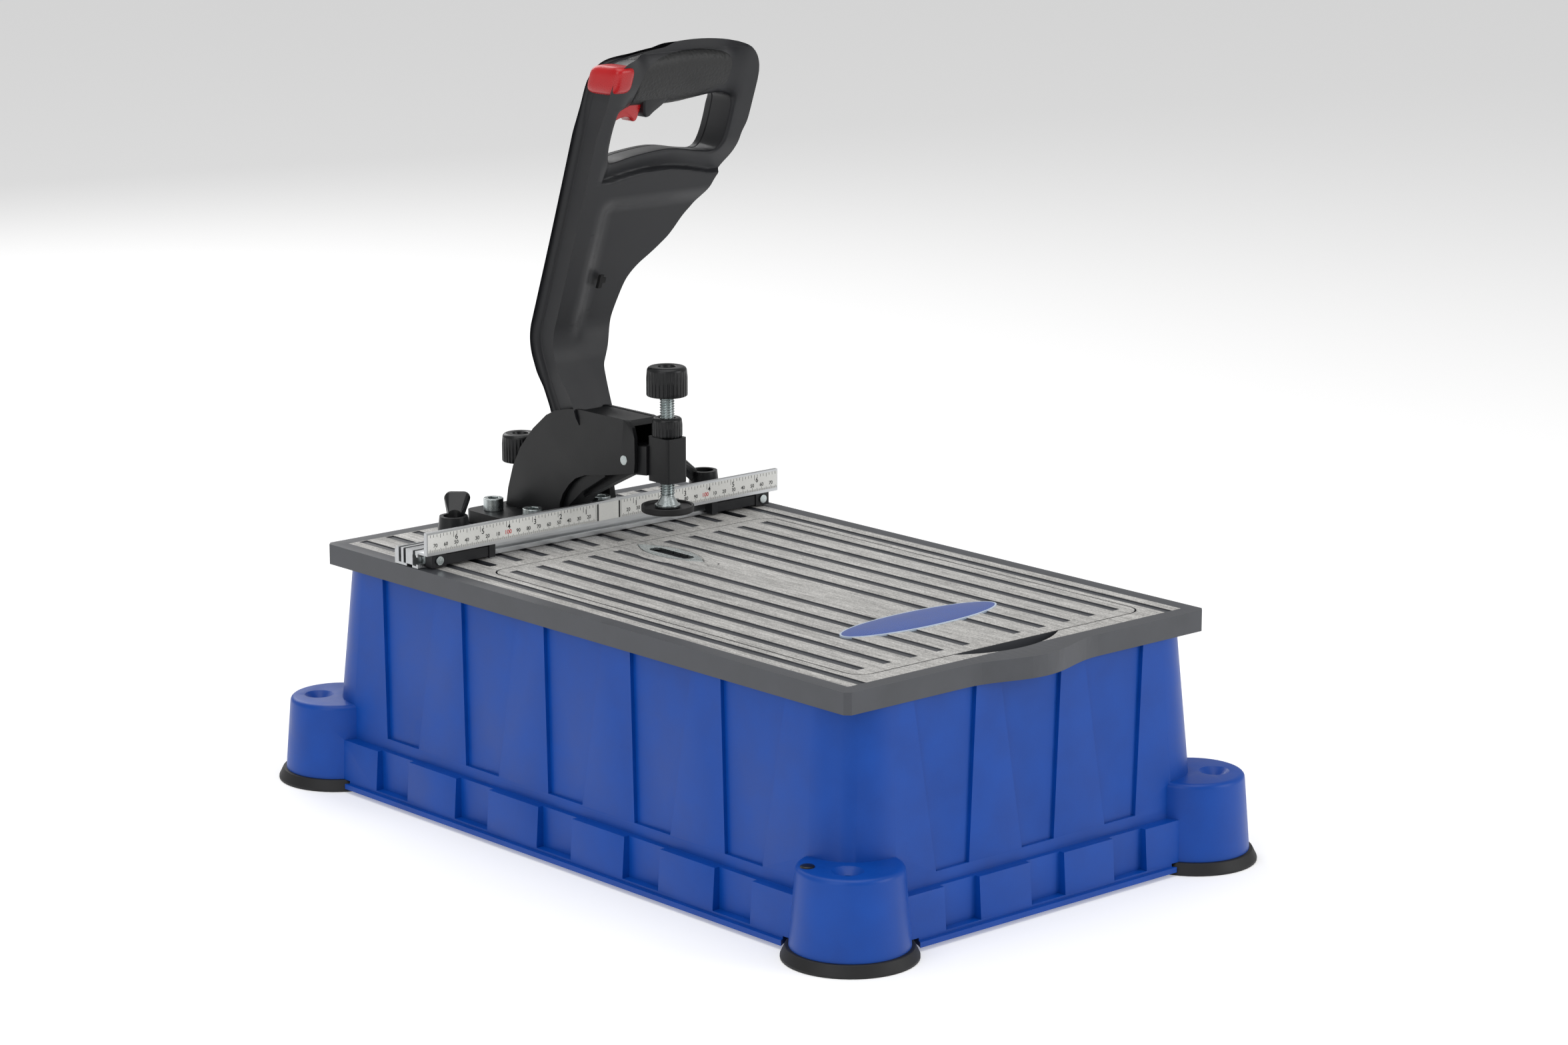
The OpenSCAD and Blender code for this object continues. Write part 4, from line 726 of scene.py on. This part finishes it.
# %% [markdown]
# ## Insert surround and badge
# The steel insert sits in a low smooth mound on the lid. The mound is a pointed oval that rises
# from the strips to the insert's edge. The badge further forward is a shallow resin dome in a
# pale rim, here with no words.


# %% Pointed ovals and domes
def pointed_oval(half_wide, half_long, count=96):
    """Two equal arcs that meet in points: x is the arc's sagitta at each y, and the angle sweeps the outline."""
    turn = np.linspace(0, 2 * math.pi, count, endpoint=False)
    y = half_long * np.sin(turn)
    radius = (half_long ** 2 + half_wide ** 2) / (2 * half_wide)
    x = np.sqrt(radius ** 2 - y ** 2) - (radius - half_wide)
    return np.sign(np.cos(turn)) * np.maximum(x, 0) * np.minimum(1, np.abs(np.cos(turn)) * 6), y


insert_low, insert_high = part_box("drill_insert")
insert_y = (insert_low.y + insert_high.y) / 2 / MM
top = table_top_z / MM
inner_x, inner_y = pointed_oval(13.4, (insert_high.y - insert_low.y) / 2 / MM + 0.6)
outer_x, outer_y = pointed_oval(24.0, 50.0)
share = np.linspace(0, 1, 10)[:, None]
mound_x, mound_y = inner_x + (outer_x - inner_x) * share, inner_y + (outer_y - inner_y) * share
mound_z = np.broadcast_to(top - 0.25 + 1.0 * (1 - share ** 2), mound_x.shape).copy()
mound_z[0] = top - 1.4
mound_grid = np.stack([mound_x, np.minimum(mound_y + insert_y - 4.5 * share, 139.0), mound_z], -1)
closed_mound = np.concatenate([mound_grid, mound_grid[-1:] * [1, 1, 0] + [0, 0, top - 1.4], mound_grid[:1]])
mound = placed("insert_surround", closed_mound.reshape(-1, 3),
               grid_faces(len(closed_mound), closed_mound.shape[1]), composite, "lid", "composite", 50)

badge_low, badge_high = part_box("badge_plate")
badge_x = (badge_high.x - badge_low.x) / 2 / MM
badge_mid = (badge_low.y + badge_high.y) / 2 / MM
badge_half = (badge_high.y - badge_low.y) / 2 / MM


def dome(name, inset, height, foot, material):
    """An ellipse whose height is foot + height * (1 - s^4), with s the share of the way out to its rim."""
    s = np.linspace(1, 0.02, 14)[:, None]
    turn = np.linspace(0, 2 * math.pi, 120, endpoint=False)[None, :]
    grid = np.stack(np.broadcast_arrays((badge_x - inset) * s * np.cos(turn),
                                        badge_mid + (badge_half - inset) * s * np.sin(turn),
                                        top + foot + height * (1 - s ** 4) + 0 * turn), -1)
    grid = np.concatenate([grid[:1] * [1, 1, 0] + [0, 0, top - 0.9], grid])
    return placed(name, *capped(grid), material, "lid", "badge_blue", 50)


rim_piece = dome("badge_rim", 0.0, 0.25, 0.45, badge_rim)
face_piece = dome("badge_face", 1.6, 0.4, 0.55, badge_enamel)
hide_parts("badge_plate")
print("badge, mm:", round(2 * badge_x), "by", round(2 * badge_half))

# %% [markdown]
# ## Ruler
# The fence carries a printed tape: inches along its top, with marks at each eighth, and
# millimetres along its foot. Both count outwards from the middle. The print is thin raised ink,
# a twentieth of a millimetre proud, so that the marks stay sharp at any distance.

# %% Tape and marks
rounded("ruler_tape", 0.05, tape_white, segments=1)
tape_low, tape_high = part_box("ruler_tape")
tape_front = tape_low.y / MM - 0.05
tape_foot, tape_top = tape_low.z / MM, tape_high.z / MM
reach = tape_high.x / MM
INCH = 25.4


def marks(name, centres, widths, lows, highs, material):
    """Upright strips of ink: each is a flat box from its own centre, width, and lowest and highest point."""
    c, w, lo, hi = (np.broadcast_to(np.asarray(v, float), len(centres)) for v in (centres, widths, lows, highs))
    corner_x = np.stack([c - w / 2, c + w / 2, c + w / 2, c - w / 2], 1)
    corner_z = np.stack([lo, lo, hi, hi], 1)
    front = np.stack([corner_x, np.full_like(corner_x, tape_front), corner_z], -1)
    back = front + [0, 0.06, 0]
    points = np.concatenate([front, back], 1).reshape(-1, 3)
    sides = np.array([(0, 1, 2, 3), (7, 6, 5, 4), (0, 4, 5, 1), (1, 5, 6, 2), (2, 6, 7, 3), (3, 7, 4, 0)])
    faces = (sides[None] + 8 * np.arange(len(c))[:, None, None]).reshape(-1, 4).tolist()
    return placed(name, points, faces, material, "fence", "tape")


eighths = np.arange(5, int(reach / INCH * 8) + 1)
millimetres = np.arange(14, int(reach) + 1)
inch_length = np.where(eighths % 8 == 0, 4.6, np.where(eighths % 4 == 0, 3.2, 2.2))
mm_length = np.where(millimetres % 10 == 0, 3.4, np.where(millimetres % 5 == 0, 2.6, 1.7))
for side, word in ((-1, "left"), (1, "right")):
    marks("inch_marks_" + word, side * eighths * INCH / 8, 0.35, tape_top - inch_length, tape_top - 0.1, ink_black)
    marks("mm_marks_" + word, side * millimetres, 0.28, tape_foot + 0.1, tape_foot + mm_length, ink_black)
marks("zero_bars", (-10.9, 10.9), 1.6, tape_foot + 0.1, tape_top - 0.1, ink_black)
print("marks on each side:", len(eighths), "eighths and", len(millimetres), "millimetres")


# %% Numbers
def numbers(name, words, places, height, base, material):
    """One mesh of all the words: each is set as text, turned upright, and centred on its place."""
    points, faces, start = [], [], 0
    for word, place in zip(words, places):
        curve = bpy.data.curves.new("number", "FONT")
        curve.body, curve.align_x, curve.size = word, "CENTER", height * 1.38
        curve.extrude, curve.offset = 0.03, 0.06
        text = bpy.data.objects.new("number", curve)
        bpy.context.scene.collection.objects.link(text)
        flat = text.to_mesh()
        at = np.zeros(len(flat.vertices) * 3)
        flat.vertices.foreach_get("co", at)
        x, z, y = at.reshape(-1, 3).T
        points.append(np.stack([x + place, tape_front - 0.01 - y, z + base], 1))
        faces += [[v + start for v in polygon.vertices] for polygon in flat.polygons]
        start += len(x)
        text.to_mesh_clear()
        bpy.data.objects.remove(text)
        bpy.data.curves.remove(curve)
    return placed(name, np.concatenate(points), faces, material, "fence", "tape")


inches = np.arange(1, 7)
tens = np.arange(20, int(reach) - 2, 10)
for side, word in ((-1, "left"), (1, "right")):
    numbers("inch_numbers_" + word, [str(n) for n in inches], side * inches * INCH + 2.6, 4.2, tape_top - 6.4, ink_black)
    small = [n for n in tens if n != 100]
    numbers("mm_numbers_" + word, [str(n % 100) for n in small], [side * n for n in small], 2.9,
            tape_foot + 3.7, ink_black)
    numbers("hundred_" + word, ["100"], [side * 100], 3.3, tape_foot + 3.7, ink_red)
print("numbers set:", 2 * (len(inches) + len(tens)))

# %% [markdown]
# ## Small dark details
# The handle's front has a small T-shaped slot, and one corner ear has a black plug. Each is a
# thin dark piece that stands a fraction of a millimetre out of the surface round it. The slot's
# piece is painted shade: a near-black sheet that stands where the slot's hollow lies in shade.

# %% Slot and plug
# painted shade: the slot is not cut; a near-black sheet over the face stands in for its shaded hollow
slot_outline = np.array([(-1.8, -5.5), (1.6, -5.5), (1.6, -1.6), (4.2, -1.2), (4.2, 3.0), (1.4, 3.2), (1.4, 5.5), (-1.8, 5.5)])
slot_height = 388 - pin_z
slot_ring = [np.stack([14 + slot_outline[:, 0] * s, np.full(8, depth), slot_height + slot_outline[:, 1] * s], 1)
             for s, depth in ((1.0, FACE + 3), (1.0, FACE - 0.1), (0.9, FACE - 0.1))]
slot_grid = np.array(slot_ring)
slot_grid[..., 1] += seam_y(slot_grid[..., 2]) + 0.6
slot_grid[..., 2] += pin_z
slot_piece = placed("handle_slot", *capped(slot_grid), painted_slot_shade, "lever", "black_plastic")

ear_top_z = 66.6
plug_turn = np.linspace(0, 2 * math.pi, 40, endpoint=False)[None, :]
plug_r, plug_h = np.array([5.2, 5.2, 4.6, 3.0, 0.4])[:, None], np.array([-2.0, 0.5, 1.1, 1.4, 1.5])[:, None]
plug_grid = np.stack(np.broadcast_arrays(-198 + plug_r * np.cos(plug_turn), -283 + plug_r * np.sin(plug_turn),
                                         ear_top_z + plug_h), -1)
plug = placed("ear_plug", *capped(plug_grid), knob_black, "base", "black_plastic")
print("slot and plug made")
